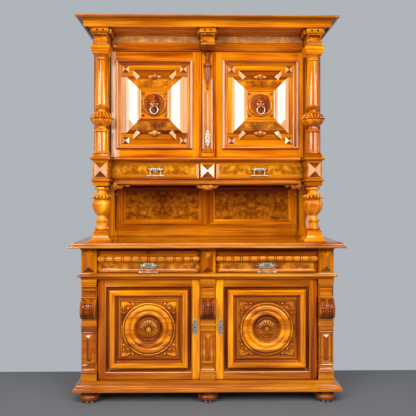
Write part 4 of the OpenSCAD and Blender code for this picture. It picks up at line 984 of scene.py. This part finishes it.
# The frieze's mouldings take the lit copy, painted light under the cornice's overhang.
frieze = Piece(LIT_WALNUT, PALE_BURL)
burl_strip = banded(FRIEZE, 1, (56, 57, 1))
for s in (-1, 1):
    low, high = sorted((s * 48, s * 630))
    frieze.along(FRIEZE, low, high, UPPER_FACE, MOULD_BACK, FRIEZE_Z, strips=burl_strip, match=s * 339)
frieze.block((-UPPER_HALF, UPPER_FACE, FRIEZE_Z), (UPPER_HALF, STILE_BACK, CORNICE_Z))
frieze.make("burl_frieze", "carcass", "frieze", bevel=0.4)

CORBEL = ([(0, 2249), (4, 2250)] + arc(5, 2257, 6, -80, 80, 5) + [(3, 2264), (0, 2266)]
          + smooth([(-2, 2268), (-9, 2280), (-9, 2296), (-2, 2310), (6, 2316)], 5)
          + [(10, 2317), (10, 2322), (12, 2324)])
HEAD_HALF, HEAD_Z = 52, 2328


def ring_of(x, z, r, steps=12):
    """A round hole, as the outline of a polygon."""
    return [(x + r * math.cos(a), z + r * math.sin(a)) for a in np.linspace(0, 2 * math.pi, steps + 1)[:-1]]


def throat(across, up, out):
    """Five deep flutes in the throat of a corbel, between two plain cheeks."""
    middle = np.clip((up - 2266) / 4, 0, 1) * np.clip((2318 - up) / 4, 0, 1)
    flute = np.clip(1 - (((across + 37.5) % 15 - 7.5) / 6.5) ** 2, 0, None) ** 0.5
    return out - (4 + 8 * flute) * middle * (abs(across) < 37.5)


# Painted shade: the deep flutes of each throat take the deep copy.
corbels = Piece(WALNUT, HOLE_SHADOW, DEEP_SHADE_WALNUT)
for x in (-COLUMN_X, 0, COLUMN_X):
    corbels.carved(x, 46, DIE_FRONT, CORBEL, throat, steps=185, grooves=(9.5, 2))
    corbels.block((x - 46, DIE_FRONT + 12, FRIEZE_Z), (x + 46, UPPER_FACE, CORNICE_Z), "y")
    corbels.block((x - HEAD_HALF, DIE_FRONT - 8, 2322), (x + HEAD_HALF, UPPER_FACE, HEAD_Z))
    holes = [ring_of(x + s * 19, 2341, 6.5, 16) for s in (-1, 1)]
    corbels.push([(x - HEAD_HALF, HEAD_Z), (x + HEAD_HALF, HEAD_Z), (x + HEAD_HALF, CORNICE_Z),
                  (x - HEAD_HALF, CORNICE_Z)], DIE_FRONT - 16, DIE_FRONT - 6, "y", axis="x", holes=holes)
    # A near-black board behind the bored holes paints the shadow in them.
    corbels.block((x - HEAD_HALF, DIE_FRONT - 5.9, HEAD_Z), (x + HEAD_HALF, UPPER_FACE, CORNICE_Z), finish=1)
    for s in (-1, 1):
        corbels.block((x + s * 52.5 - 1, DIE_FRONT - 15, HEAD_Z),
                      (x + s * 52.5 + 1, UPPER_FACE, CORNICE_Z), "y")
        corbels.around([(0, 2326), (2, 2328), (6, 2336), (7, 2342), (7, 2357)], 3, DIE_FRONT + 14,
                       UPPER_FACE, 0, at=x + s * 58)
corbels.make("fluted_corbels", "carcass", "frieze_corbels", bevel=0.3, angle=32)
print("frieze and corbels made")

# %% [markdown]
# Between the two stages run the drawer case's mouldings, planed in long lengths. Each is one
# profile pushed along x, and plain boards behind it close the case.

# %% Case mouldings
FLOOR = ([(10, 0), (14, 2)] + smooth([(18, 3), (27, 7), (30, 13), (27, 18)], 4)
         + [(20, 20), (18, 24), (12, 26), (5, 29), (5, 36), (0, 38)])
RAIL = ([(0, 0)] + smooth([(2, 2), (5, 8), (13, 14), (20, 16)], 4)
        + [(22, 17), (22, 19)] + arc(21, 26, 7, -75, 75, 6) + [(20, 34), (10, 36)])
CASE_TOP, CASE_BACK, RAIL_Z, RAIL_TOP, BOSS_Z = 1405, 288, 1513, 1549, 1461
case_floor = Piece(WALNUT, BACK_BOARD)
case_floor.along(FLOOR, -616, 616, UPPER_FACE, MOULD_BACK, CASE_Z)
case_floor.block((-UPPER_HALF, UPPER_FACE, CASE_Z), (UPPER_HALF, CASE_BACK, CASE_TOP))
case_floor.make("case_floor_moulding", "carcass", "upper_floor", bevel=0.4)
# Painted light and shade: the rail is lit, its boss's pyramid dark above and below, with sheen at its sides.
case_rail = Piece(LIT_WALNUT, DEEP_SHADE_WALNUT, SHEEN_WALNUT)
case_rail.along(RAIL, -612, 612, UPPER_FACE, MOULD_BACK, RAIL_Z)
case_rail.block((-UPPER_HALF, UPPER_FACE, RAIL_Z), (UPPER_HALF, STILE_BACK, RAIL_TOP))
case_rail.block((-UPPER_HALF, UPPER_FACE, RAIL_TOP - 20), (UPPER_HALF, CASE_BACK, RAIL_TOP))
case_rail.block((-54, UPPER_FACE, CASE_TOP), (54, STILE_BACK, RAIL_Z), "z")
case_rail.block((-11, STILE_BACK, CASE_TOP), (11, CASE_BACK, RAIL_TOP - 20), "z")
case_rail.frame(0, BOSS_Z, 106, 106, [(0, -1), (0, 4), (7, 14)], UPPER_FACE, fill=0)
hip(case_rail, 0, BOSS_Z, 84, 88, 18, UPPER_FACE - 14, FACETS)
case_rail.make("case_rail_moulding", "carcass", "upper_rail", bevel=0.4)

# %% [markdown]
# Under the drawer case hangs a carved apron: a shell of nine ribs in the middle and a scroll with
# a curling leaf at each end. Rods that swell and taper make the ribs and leaves.

# %% Carved apron
RIBS, RIB_STEP_DEG = 9, 19
# The corner bosses take the lit copy, painted light where the moulding above shades them.
apron = Piece(WALNUT, LIT_WALNUT)
for s in (-1, 1):
    apron.turn([(22, -10), (22, 0), (20, 4), (17, 5), (15, 2)] + arc(0, 0, 14, 10, 90, 8), s * 609, -98,
               1357, steps=48, facing="y", axis="z", finish=1)
    leaf = smooth([(s * 590, -82, 1362), (s * 584, -86, 1350), (s * 572, -86, 1345), (s * 560, -82, 1354),
                   (s * 548, -80, 1363)], 8)
    apron.tube(leaf, np.linspace(8, 2.5, len(leaf)), sides=12)
    apron.push([(s * 596, CASE_Z), (s * 590, 1346), (s * 566, 1352), (s * 552, CASE_Z)], -82, -72, "y",
               axis="x")
    apron.push([(s * 536, CASE_Z), (s * 524, 1350), (s * 512, CASE_Z)], -84, -72, "y", axis="x")
    apron.tube([(s * 540, -82, 1362), (s * 508, -82, 1362)], [3, 3], sides=10)
for s in (-1, 1):
    curl = smooth([(s * 72, -80, 1363), (s * 60, -86, 1353), (s * 44, -88, 1350), (s * 32, -86, 1358)], 8)
    apron.tube(curl, np.linspace(3, 6, len(curl)), sides=12)
    apron.push([(s * 74, CASE_Z), (s * 58, 1352), (s * 36, 1347), (0, 1345), (0, CASE_Z)], -82, -72, "y",
               axis="x")
for k in range(RIBS):
    a = math.radians(-90 + (k - RIBS // 2) * RIB_STEP_DEG)
    rib = [(1.3 * r * math.cos(a), -88 - 7 * math.sin(r / 11), 1366 + r * math.sin(a))
           for r in (0, 9, 18, 27, 35)]
    apron.tube(rib, [2, 4, 6.5, 7.5, 3], sides=10)
apron.make("carved_apron", "carcass", "apron", angle=40)

# %% [markdown]
# The fronts of the two drawers between the stages are flat burl between narrow mouldings. The
# two leaves of veneer meet in the middle, behind the pull, so the pattern mirrors there.

# %% Upper drawer fronts
PULL_X = 342
LOWER_BAND = [(6, 0), (9, 3), (9, 20), (6, 24), (4, 27), (2, 29), (1, 31), (1, 91), (3, 93), (5, 96),
              (5, 104)]
for side in SIDES:
    # The slanted flank beside the middle die takes the sheen copy, a painted sheen.
    front = Piece(WALNUT, BURL, SHEEN_WALNUT)
    front.along(LOWER_BAND, 57.5, 628, UPPER_FACE, UPPER_FACE + 22, 1407, match=PULL_X,
                strips=banded(LOWER_BAND, 1, (31, 32, 1)))
    front.push([(57.5, UPPER_FACE), (57.5, -84), (60, -84), (78, -73), (78, UPPER_FACE)], 1410, 1506, "z",
               finish=2)
    front.make(f"upper_{side}_front", f"upper_{side}_drawer", f"upper_{side}_drawer_front",
               bevel=0.4)
print("drawer case made")

# %% [markdown]
# The niche is closed by two book-matched burl panels. The veneer lies behind mitred mouldings
# between plain stiles, so one call makes each moulding together with its field.

# %% Niche back
NICHE_FACE, NICHE_BACK, NICHE_HALF, PANEL_FOOT, PANEL_TOP = 250, 264, 655, 1093, 1363
# Painted light and shade: each panel moulding's top is deep shade under the case, its sides and bottom lit.
niche = Piece(WALNUT, DARK_BURL, LIT_WALNUT, DEEP_SHADE_WALNUT)
PANEL_MOULDING = [(0, 0), (1, 4), (3, 5.5), (11, 5.5), (13, 4), (14, 0), (16, -5), (22, -9), (30, -10),
                  (33, -12)]
for s in (-1, 1):
    niche.frame(s * 321, 1228, 598, 270, PANEL_MOULDING, NICHE_FACE, fill=1,
                finish=facets(3, 2, 2))
    niche.block((s * 637.5 - 17.5, NICHE_FACE, PANEL_FOOT), (s * 637.5 + 17.5, NICHE_BACK, PANEL_TOP), "z")
niche.block((-22, NICHE_FACE, PANEL_FOOT), (22, NICHE_BACK, PANEL_TOP), "z")
niche.block((-NICHE_HALF, NICHE_FACE, NICHE_Z), (NICHE_HALF, NICHE_BACK, PANEL_FOOT))
niche.block((-NICHE_HALF, NICHE_FACE, PANEL_TOP), (NICHE_HALF, NICHE_BACK, CASE_Z))
niche.block((-662, NICHE_BACK, NICHE_Z), (662, BACK, CASE_Z), "z")
niche.along([(14, 0), (14, 16), (10, 20), (10, 27), (4, 31), (3, 36), (0, 38)], -NICHE_HALF, NICHE_HALF,
            NICHE_FACE, NICHE_FACE + 4, NICHE_Z)
niche.make("burl_niche_back", "carcass", "niche_back", bevel=0.4)
print("niche made")

# %% [markdown]
# The upper doors carry a bolection, a moulding that stands proud of the frame and falls inwards
# to a fielded panel. The panel's ground lies deep, so that the flat pyramid can rise in its
# middle and catch the light on four sides.

# %% Upper door frames
UDOOR_FACE, UDOOR_BACK, UDOOR_FOOT, UDOOR_TOP = -68, -44, 1551, 2246
UPANEL_X, UPANEL_Z, UDOOR_RAIL = 350, 1898.5, 52
BOLECTION = ([(0, 0), (0, 4)] + smooth([(1, 7), (4, 12), (9, 15), (14, 14)], 4) + [(16, 12), (16.5, 8)]
             + smooth([(18, 5), (21, -2), (26, -8), (31, -12)], 4) + [(33, -13), (33, -18)])
# Painted light and shade: the bolection's side rolls carry a painted sheen, its top and bottom rolls shade.
ROLL = banded(BOLECTION, 0, (0, 15, 1), (30.1, 40, 1))
ROLL_ALONG = banded(BOLECTION, 0, (0, 17, 2))


def upper_door(side):
    inner = -50 if side == "left" else 52
    # The frame is lit; on the left door its outer stile carries a painted sheen instead.
    door = Piece(LIT_WALNUT, SHEEN_WALNUT, SHADED)
    outer = int(side == "left")
    door.push([(603, UDOOR_BACK), (603, UDOOR_FACE), (629, UDOOR_FACE)]
              + arc(629, UDOOR_FACE + 11, 11, -90, 0, 8) + [(640, UDOOR_BACK)],
              UDOOR_FOOT, UDOOR_TOP, "z", finish=outer)
    door.block((inner, UDOOR_FACE, UDOOR_FOOT), (97, UDOOR_BACK, UDOOR_TOP), "z")
    for low in (UDOOR_FOOT, UDOOR_TOP - UDOOR_RAIL):
        door.block((97, UDOOR_FACE, low), (603, UDOOR_BACK, low + UDOOR_RAIL))
    door.frame(UPANEL_X, UPANEL_Z, 506, 591, BOLECTION, UDOOR_FACE,
               facets(ROLL_ALONG, ROLL_ALONG, ROLL))
    door.make(f"upper_{side}_frame", f"upper_{side}_door", f"upper_{side}_door_frame",
              bevel=0.5)


# %% [markdown]
# Burl covers the two faces of the pyramid that look up and down. Its other faces are walnut with a
# painted sheen, and the ground is straight walnut, with painted light beside the frame. A small square frame
# crowns the pyramid.

# %% Fielded panels
GROUND, RECESS = -52, 7
LOW_HALF, HIGH_HALF, LOW_Z, HIGH_Z, FIELD_HALF = 98, 142, 188, 230, 220
SLIP = ((142, 230, 0), (142, 200, 1), (118, 168, 5), (95, 186, 9))
PYRAMID = [(0, -1), (0, 3), (8, 3.3), (8.6, 2.4), (20, 2.8), (20.8, 5), (76, 22.5), (77, 21.8),
           (91, 22.3), (92, 26), (96, 27.5), (100, 26), (102, 21)]
# The pyramid's upper and lower faces have deep-shade outer steps; its sides carry painted sheen, its crown
# is lit.
UP_FACE, SIDE_FACE = [2] * 5 + [0] + [1] * 2 + [3] * 4, [4] * 8 + [3] * 4
EGG = [(21, 0), (20, 6), (17, 11), (12, 15), (6, 17), (0, 18)]


def diamond(panel, x, z, half_wide, half_high, rise, y):
    """A low pyramid on a lozenge; only its two side tips show beside the egg."""
    corners = [(x - half_wide, y + 1, z), (x, y + 1, z - half_high), (x + half_wide, y + 1, z),
               (x, y + 1, z + half_high), (x, y - rise, z)]
    panel.add(corners, [[0, 1, 4], [1, 2, 4], [2, 3, 4], [3, 0, 4]], finish=4)


def recess(panel, x, z, s):
    """The sunk field over (s = 1) or under the pyramid, its steps and floor darkened as painted shade.
    Its sides follow the pyramid's mitres, and a slip of walnut with a painted highlight stands at each
    end. SLIP holds its corners as (across, up, out)."""
    for low, high in ((LOW_Z, LOW_Z + 2), (HIGH_Z - 2, HIGH_Z)):
        wide = np.interp((low, high), (LOW_Z, HIGH_Z), (LOW_HALF, HIGH_HALF))
        sunk = RECESS if low == LOW_Z else 0
        panel.grid(x + wide[:, None] * (-1, 1), np.array([[GROUND + sunk], [GROUND + RECESS - sunk]]),
                   z + s * np.array([[low], [high]]), finish=2)
    panel.grid(x + np.array([[LOW_HALF], [HIGH_HALF]]) * (-1, 0, 1), GROUND + RECESS,
               z + s * np.array([[LOW_Z], [HIGH_Z]]), finish=5, match=x)
    for t in (-1, 1):
        corners = [(x + t * u, GROUND - out, z + s * up) for u, up, out in SLIP]
        panel.add(corners, [[0, 1, 2, 3]] if s * t > 0 else [[3, 2, 1, 0]], finish=4)


def fielded_panel(side):
    # Painted light and shade: beside the frame the ground carries a painted sheen, lit on the right door.
    # Ridges, lozenges and corner pyramids' sides carry painted sheen; those pyramids' tops, bottoms and
    # bosses deep shade.
    panel = Piece(PYRAMID_BURL, WALNUT, DEEP_SHADE_WALNUT, LIT_WALNUT, SHEEN_WALNUT, SHADED)
    x, z = UPANEL_X, UPANEL_Z
    for s in (-1, 1):
        panel.grid(x + s * np.array([[180, FIELD_HALF]]), GROUND, z + np.array([[-185], [185]]), axis="z",
                   finish=4 if side == "left" else 3)
        for reach, high in ((222, 258), (214, 250)):
            line = x + s * reach
            panel.push([(line - 1.2, GROUND), (line, GROUND - 1.6), (line + 1.2, GROUND)],
                       z - high, z + high, "z", finish=4)
        panel.grid(x + FIELD_HALF * np.array([[-1, 1]]), GROUND, z + s * np.array([[HIGH_Z], [262.5]]),
                   finish=1)
        for t in (-1, 1):
            panel.grid(x + t * np.array([[LOW_HALF, FIELD_HALF], [HIGH_HALF, FIELD_HALF]]), GROUND,
                       z + s * np.array([[LOW_Z], [HIGH_Z]]), finish=1)
    for s in (-1, 1):
        recess(panel, x, z, s)
        panel.turn(EGG, x, GROUND - 5, z + s * 187, steps=40, facing="y", finish=1)
        diamond(panel, x, z + s * 187, 44, 19, 9, GROUND - 4)
        for t in (-1, 1):
            hip(panel, x + t * 191, z + s * 236, 44, 44, 13, GROUND, facets(2, 2, 4))
            panel.turn([(9, 0), (8, 6), (5, 9), (0, 10)], x + t * 72, -73, z + s * 72, steps=24,
                       facing="y", finish=2)
    panel.frame(x, z, 378, 378, PYRAMID, GROUND, fill=3,
                finish=facets(UP_FACE, UP_FACE, SIDE_FACE))
    panel.block((x - 225, -44.2, z - 267), (x + 225, -42.5, z + 267), finish=1)
    panel.make(f"upper_{side}_fielded_panel", f"upper_{side}_door", f"upper_{side}_door_panel",
               angle=12)


# %% [markdown]
# A lion's mask bites the ring that opens each upper door. Its relief is one height field: a
# mane of locks round a domed head, with brows, cheeks, a broad nose and the mouth below it.

# %% Lion masks
def knob(x, z, at, rx, rz, height):
    return height * np.clip(1 - ((x - at[0]) / rx) ** 2 - ((z - at[1]) / rz) ** 2, 0, 1) ** 0.6


def lion(x, z):
    """How far the mask stands out of its plate, in millimetres."""
    r, turn = np.hypot(x, z), np.arctan2(z, x)
    locks = 0.5 + 0.5 * np.cos(turn * 19 + 1.4 * np.sin(r / 7))
    mane = (5 + 8 * locks) * np.clip((63 - r) / 12, 0, 1) ** 0.5
    head = knob(x, z, (0, 2), 35, 40, 19)
    face = np.maximum(mane, head)
    for s in (-1, 1):
        face = face + knob(x, z, (s * 13, 18), 13, 7, 6) + knob(x, z, (s * 9, -13), 11, 9, 6)
        face = face - knob(x, z, (s * 13, 9), 7, 5, 7) + knob(x, z, (s * 13, 9), 3.5, 3, 4)
        face = np.maximum(face, knob(x, z, (s * 30, 32), 10, 10, 17))
    face = face + knob(x, z, (0, 8), 6, 20, 4) + knob(x, z, (0, -5), 8, 6, 5)
    face = face - knob(x, z, (0, -24), 13, 3, 5) + knob(x, z, (0, -33), 9, 7, 3)
    return np.maximum(face, knob(x, z, (0, -15), 9, 11, 31))


MASK_FACE, MASK_RING_R, MASK_RING_Z = -74, 25, 1858.5


def lion_mask(side):
    # Painted light and shade: the plate takes the lit copy and the mask the shaded one.
    mask = Piece(LIT_WALNUT, SHADED)
    x, z = UPANEL_X, UPANEL_Z
    mask.turn([(78, 0), (78, 5)] + arc(73, 6, 5, 0, 160, 6) + [(67, 5), (64, 3), (0, 3)],
              x, MASK_FACE, z, steps=72, facing="y")
    radius = np.linspace(64, 0.5, 44)[:, None]
    turn = np.arange(120) * 2 * math.pi / 120
    u, v = radius * np.cos(turn), radius * np.sin(turn)
    mask.grid(x + u, MASK_FACE - 3 - lion(u, v), z + v, wrap=True, axis="z", finish=1)
    mask.make(f"upper_{side}_lion_mask", f"upper_{side}_door", f"upper_{side}_mask",
              angle=50)


def mask_ring(side):
    ring = Piece(BRASS)
    turn = np.arange(64) * 2 * math.pi / 64
    path = [(UPANEL_X + MASK_RING_R * math.cos(a), -98, MASK_RING_Z + MASK_RING_R * math.sin(a))
            for a in turn]
    ring.tube(path, 2.6 + 0.8 * np.clip(-np.sin(turn), 0, 1) ** 2, sides=14, closed=True)
    ring.make(f"upper_{side}_mask_ring", f"upper_{side}_ring", f"upper_{side}_ring")


for side in SIDES:
    upper_door(side)
    fielded_panel(side)
    lion_mask(side)
    mask_ring(side)
print("upper doors made")

# %% [markdown]
# The left door carries the astragal, a strip that covers the gap between the doors. Half a
# turned urn tops it, over three flutes.

# %% Astragal
ASTRAGAL_FACE = -76
URN = ([(0, 1994), (5, 1996), (8, 2004), (5, 2012), (4, 2018)]
       + smooth([(7, 2024), (12, 2050), (18, 2085), (21, 2110), (22, 2128)], 6)
       + [(17, 2132), (17, 2136)] + arc(14, 2152, 14, -70, 70, 8)
       + [(13, 2172), (9, 2178), (15, 2186), (9, 2194)] + smooth([(8, 2204), (14, 2216), (22, 2226)], 4)
       + [(22, 2230), (0, 2232)])


def flutes(across, up, out):
    """Three round flutes with blunt ends; the middle one starts under the urn."""
    cut = 0
    for x, top in ((-27.5, 2062), (0, 1978), (27.5, 2062)):
        hollow = np.clip(1 - ((across - x) / 6.5) ** 2, 0, None) ** 0.5
        cut = cut + hollow * np.clip((up - 1604) / 8, 0, 1) * np.clip((top - up) / 8, 0, 1)
    return out - 7 * cut


# Painted light and shade: the strip is lit, its flutes carry a painted sheen and the urn is deep shade.
astragal = Piece(LIT_WALNUT, SHEEN_WALNUT, DEEP_SHADE_WALNUT)
astragal.block((-50, ASTRAGAL_FACE, UDOOR_FOOT), (50, UDOOR_FACE, UDOOR_TOP), "z")
astragal.frame(0, UPANEL_Z, 100, UDOOR_TOP - UDOOR_FOOT,
               [(0, 0), (0, 2), (3, 4), (7, 4), (10, 1), (11, -2)], ASTRAGAL_FACE)
FLUTED = [(0, 1581), (8, 1582), (8, 1590)]
FLUTED += [(8, z) for z in (*np.linspace(1600, 1620, 6), *np.linspace(1960, 2066, 24), 2229)] + [(0, 2230)]
astragal.carved(0, 36, ASTRAGAL_FACE, FLUTED, flutes, steps=73, grooves=(2, 1))
astragal.turn(URN, 0, ASTRAGAL_FACE - 8, 0, steps=96, carve=gadroons(10, (2030, 2126, 3)), finish=2)
astragal.make("fluted_astragal", "upper_left_door", "astragal", bevel=0.3, angle=32)
print("astragal made")

# %% [markdown]
# Brass fittings: pierced key plates on the doors, and on each drawer a plate with leafy ends
# from which a bail hangs. They are cut from an outline with holes, like sheet brass.

# %% Key plates
def fourfold(quarter):
    """A whole outline from its top right quarter, which ends level with the middle."""
    half = quarter + [(x, -z) for x, z in reversed(quarter[:-1])]
    return half + [(-x, z) for x, z in reversed(half[1:-1])]


def lobed(w, h):
    """The outline of a plate with a curling edge, as (x, z) points about its middle."""
    return fourfold(smooth([(0, h), (4, h - 3), (5, h - 10), (w * 0.62, h - 15), (w * 0.5, h * 0.55),
                            (w, h * 0.42), (w * 0.72, h * 0.2), (w, 0)], 4))


def key_plate(name, body, replaces, x, z, face, w, h, back):
    """A pierced plate w wide and h high from its middle, over a dark one that paints the shadow in the
    holes.
    """
    plate = Piece(BRASS, HOLE_SHADOW)
    holes = [ring_of(x, z, 5.2)]
    holes += [ring_of(x + a * w * 0.45, z + b * h * 0.3, 2.6) for a in (-1, 1) for b in (-1, 1)]
    holes += [ring_of(x, z + b * h * 0.62, 3) for b in (-1, 1)]
    plate.push([(x + a, z + b) for a, b in lobed(w, h)], face - 3, face, "y", axis="x", holes=holes)
    plate.push([(x + a * 0.9, z + b * 0.9) for a, b in lobed(w, h)], face - 1.2, face, "y", axis="x",
               finish=1)
    for b in (-1, 1):
        plate.turn([(3, 0), (3, 1), (0, 2.5)], x, face - 3, z + b * (h - 8), steps=16, facing="y")
    back(plate)
    plate.make(name, body, replaces, bevel=0.5)


def base_lock(plate):
    """The lock case behind the door and the two pivot plates at its edges."""
    plate.block((56, DOOR_BACK, 422.5), (120, -187, 512.5))
    for low in (DOOR_FOOT, DOOR_TOP - 3):
        plate.block((650, -220, low), (688, -204, low + 3))


def upper_lock(plate):
    plate.block((-30, UDOOR_BACK, 1631.5), (40, -32, 1721.5))
    for low in (UDOOR_FOOT, UDOOR_TOP - 3):
        plate.block((-633, -65, low), (-595, -49, low + 3))


for side in SIDES:
    key_plate(f"base_{side}_key_plate", f"base_{side}_door", f"base_{side}_door_fittings",
              80, 467.5, DOOR_FACE, 17, 58, base_lock)
key_plate("astragal_key_plate", "upper_left_door", "upper_left_door_fittings", 0, 1676.5,
          ASTRAGAL_FACE - 8, 18, 56, upper_lock)
print("key plates made")

# %% [markdown]
# Each drawer is pulled by a bail that hangs from two posts. The posts run through a cast plate
# and the drawer front, and nuts hold them inside. The lock sits behind the plate's middle.

# %% Drawer pulls
POST = [(7, 0), (7, 4), (4.5, 6), (4.5, 12), (5.5, 14), (5.5, 20), (4, 22), (0, 23)]
BAIL_OUT, BAIL_DROP = 17, 40


def pull(side, stage, x, z, face, post, plate_half, high=1.0):
    """The fixed plate with its two bored posts, the nuts inside and the lock."""
    p = Piece(BRASS, HOLE_SHADOW)
    wide, w = post - 8, plate_half
    outline = fourfold(smooth([(0, 18), (10, 15), (18, 19), (wide, 17), (wide + 8, 9), (w, 8),
                               (w + 6, 13), (w + 13, 8), (w + 10, 3), (w + 26, 0)], 4))
    outline = [(a, b * high) for a, b in outline]
    holes = [ring_of(x, z - 1, 5.4)]
    holes += [ring_of(x + a, z + b, 3.2) for a in (3 - w, -12, 12, w - 3) for b in (-5 * high, 5 * high)]
    p.push([(x + a, z + b) for a, b in outline], face - 5, face, "y", axis="x", holes=holes)
    # A near-black plate under it paints the shadow in its holes.
    p.push([(x + a * 0.95, z + b * 0.85) for a, b in outline], face - 3, face + 1, "y", axis="x", finish=1)
    for s in (-1, 1):
        at, y = x + s * wide, face - BAIL_OUT
        p.turn(POST, at, face, z, steps=20, facing="y")
        p.tube([(at, y, z), (at + s * 11, y, z)], 2, sides=10)
        p.tube([(at + s * 11, y, z), (at + s * 13, y, z)], 3.4, sides=12)
        p.tube([(at, face, z), (at, face + 22, z)], 3, sides=8)
        p.turn([(7, -26), (7, -22), (0, -22)], at, face, z, steps=6, facing="y")
    p.block((x - 25, face + 22, z - 18), (x + 25, face + 32, z + 18))
    p.make(f"{stage}_{side}_pull_plate", f"{stage}_{side}_drawer", f"{stage}_{side}_pull",
           bevel=0.4)


def bail(side, stage, x, z, face, post, bar):
    """The hanging bail: an eye and an arm at each side, and a bar with turned ends."""
    b = Piece(BRASS)
    y, foot = face - BAIL_OUT, z - BAIL_DROP
    for s in (-1, 1):
        at = x + s * post
        eye = [(at, y + 3.7 * math.cos(a), z + 3.7 * math.sin(a)) for a in np.arange(16) * math.pi / 8]
        b.tube(eye, 1.4, sides=8, closed=True, axis="z")
        arm = [(at, y, z - 4), (at + s, y, z - 14), (at - s, y, z - 27), (at, y, foot)]
        b.tube(smooth(arm, 4), 3.2, sides=10)
        ends = [(0, 3), (5, 3), (7, 5.5), (10, 5.5), (12, 3), (bar - post - 4, 2.5), (bar - post, 5),
                (bar - post + 4, 4), (bar - post + 7, 1)]
        b.tube([(x + s * (post + a), y, foot) for a, _ in ends], [r for _, r in ends], sides=12)
    half_rod = [(7, 3.5), (9, 2.2), (post * 0.5, 2), (post, 2)]
    rod = [(-a, r) for a, r in reversed(half_rod)] + [(0, 4)] + half_rod
    b.tube([(x + a, y, foot) for a, _ in rod], [r for _, r in rod], sides=14)
    b.make(f"{stage}_{side}_hanging_bail", f"{stage}_{side}_bail", f"{stage}_{side}_bail")


for side in SIDES:
    pull(side, "base", DOOR_X, 857.5, DOOR_FACE, 38, 40)
    bail(side, "base", DOOR_X, 857.5, DOOR_FACE, 38, 54)
    pull(side, "upper", PULL_X, 1468.5, UPPER_FACE, 34, 36, high=0.64)
    bail(side, "upper", PULL_X, 1468.5, UPPER_FACE, 34, 50)
print("pulls and bails made")

# %% [markdown]
# The cabinet stands on a dull floor that ends just behind it, where the wall begins. The floor
# is not a part of the cabinet, so it is only a stage for the pictures.

# %% Stage
pale_floor = Finish("pale_floor", Roughness=0.8)
pale_floor.shader.inputs["Base Color"].default_value = (0.158, 0.164, 0.174, 1)
bpy.ops.mesh.primitive_plane_add(size=14, location=(0, -6.64, 0))
floor = bpy.context.object
floor.name = "floor"
floor.data.materials.append(pale_floor.material)

# %% [markdown]
# The room behind is plain and pale. What the camera sees, directly or in polish and brass, is
# that pale wall, but its light on the wood is dim, so the soft boxes do the modelling. The room
# behind the camera is a dark studio: polish that faces it stays deep in colour.

# %% Room
scene.world = bpy.data.worlds.new("room")
scene.world.use_nodes = True
room = Nodes(scene.world.node_tree)
looked_at, mirrored, through = (room.node("ShaderNodeLightPath", out=k) for k in (
    "Is Camera Ray", "Is Glossy Ray", "Is Transmission Ray"))
heading = room.node("ShaderNodeTexCoord", out="Generated")
to_wall = room.node("ShaderNodeSeparateXYZ", None, {0: heading}, out=1).ramp(-0.5, 0.3)
FILL = 0.09
strength = FILL + (looked_at + through) * (1 - FILL) + mirrored * (0.94 * to_wall + 0.06 - FILL)
backdrop = room.tree.nodes["Background"]
backdrop.inputs["Color"].default_value = (0.43, 0.46, 0.49, 1)
room.tree.links.new(strength.socket, backdrop.inputs["Strength"])
print("room ready")
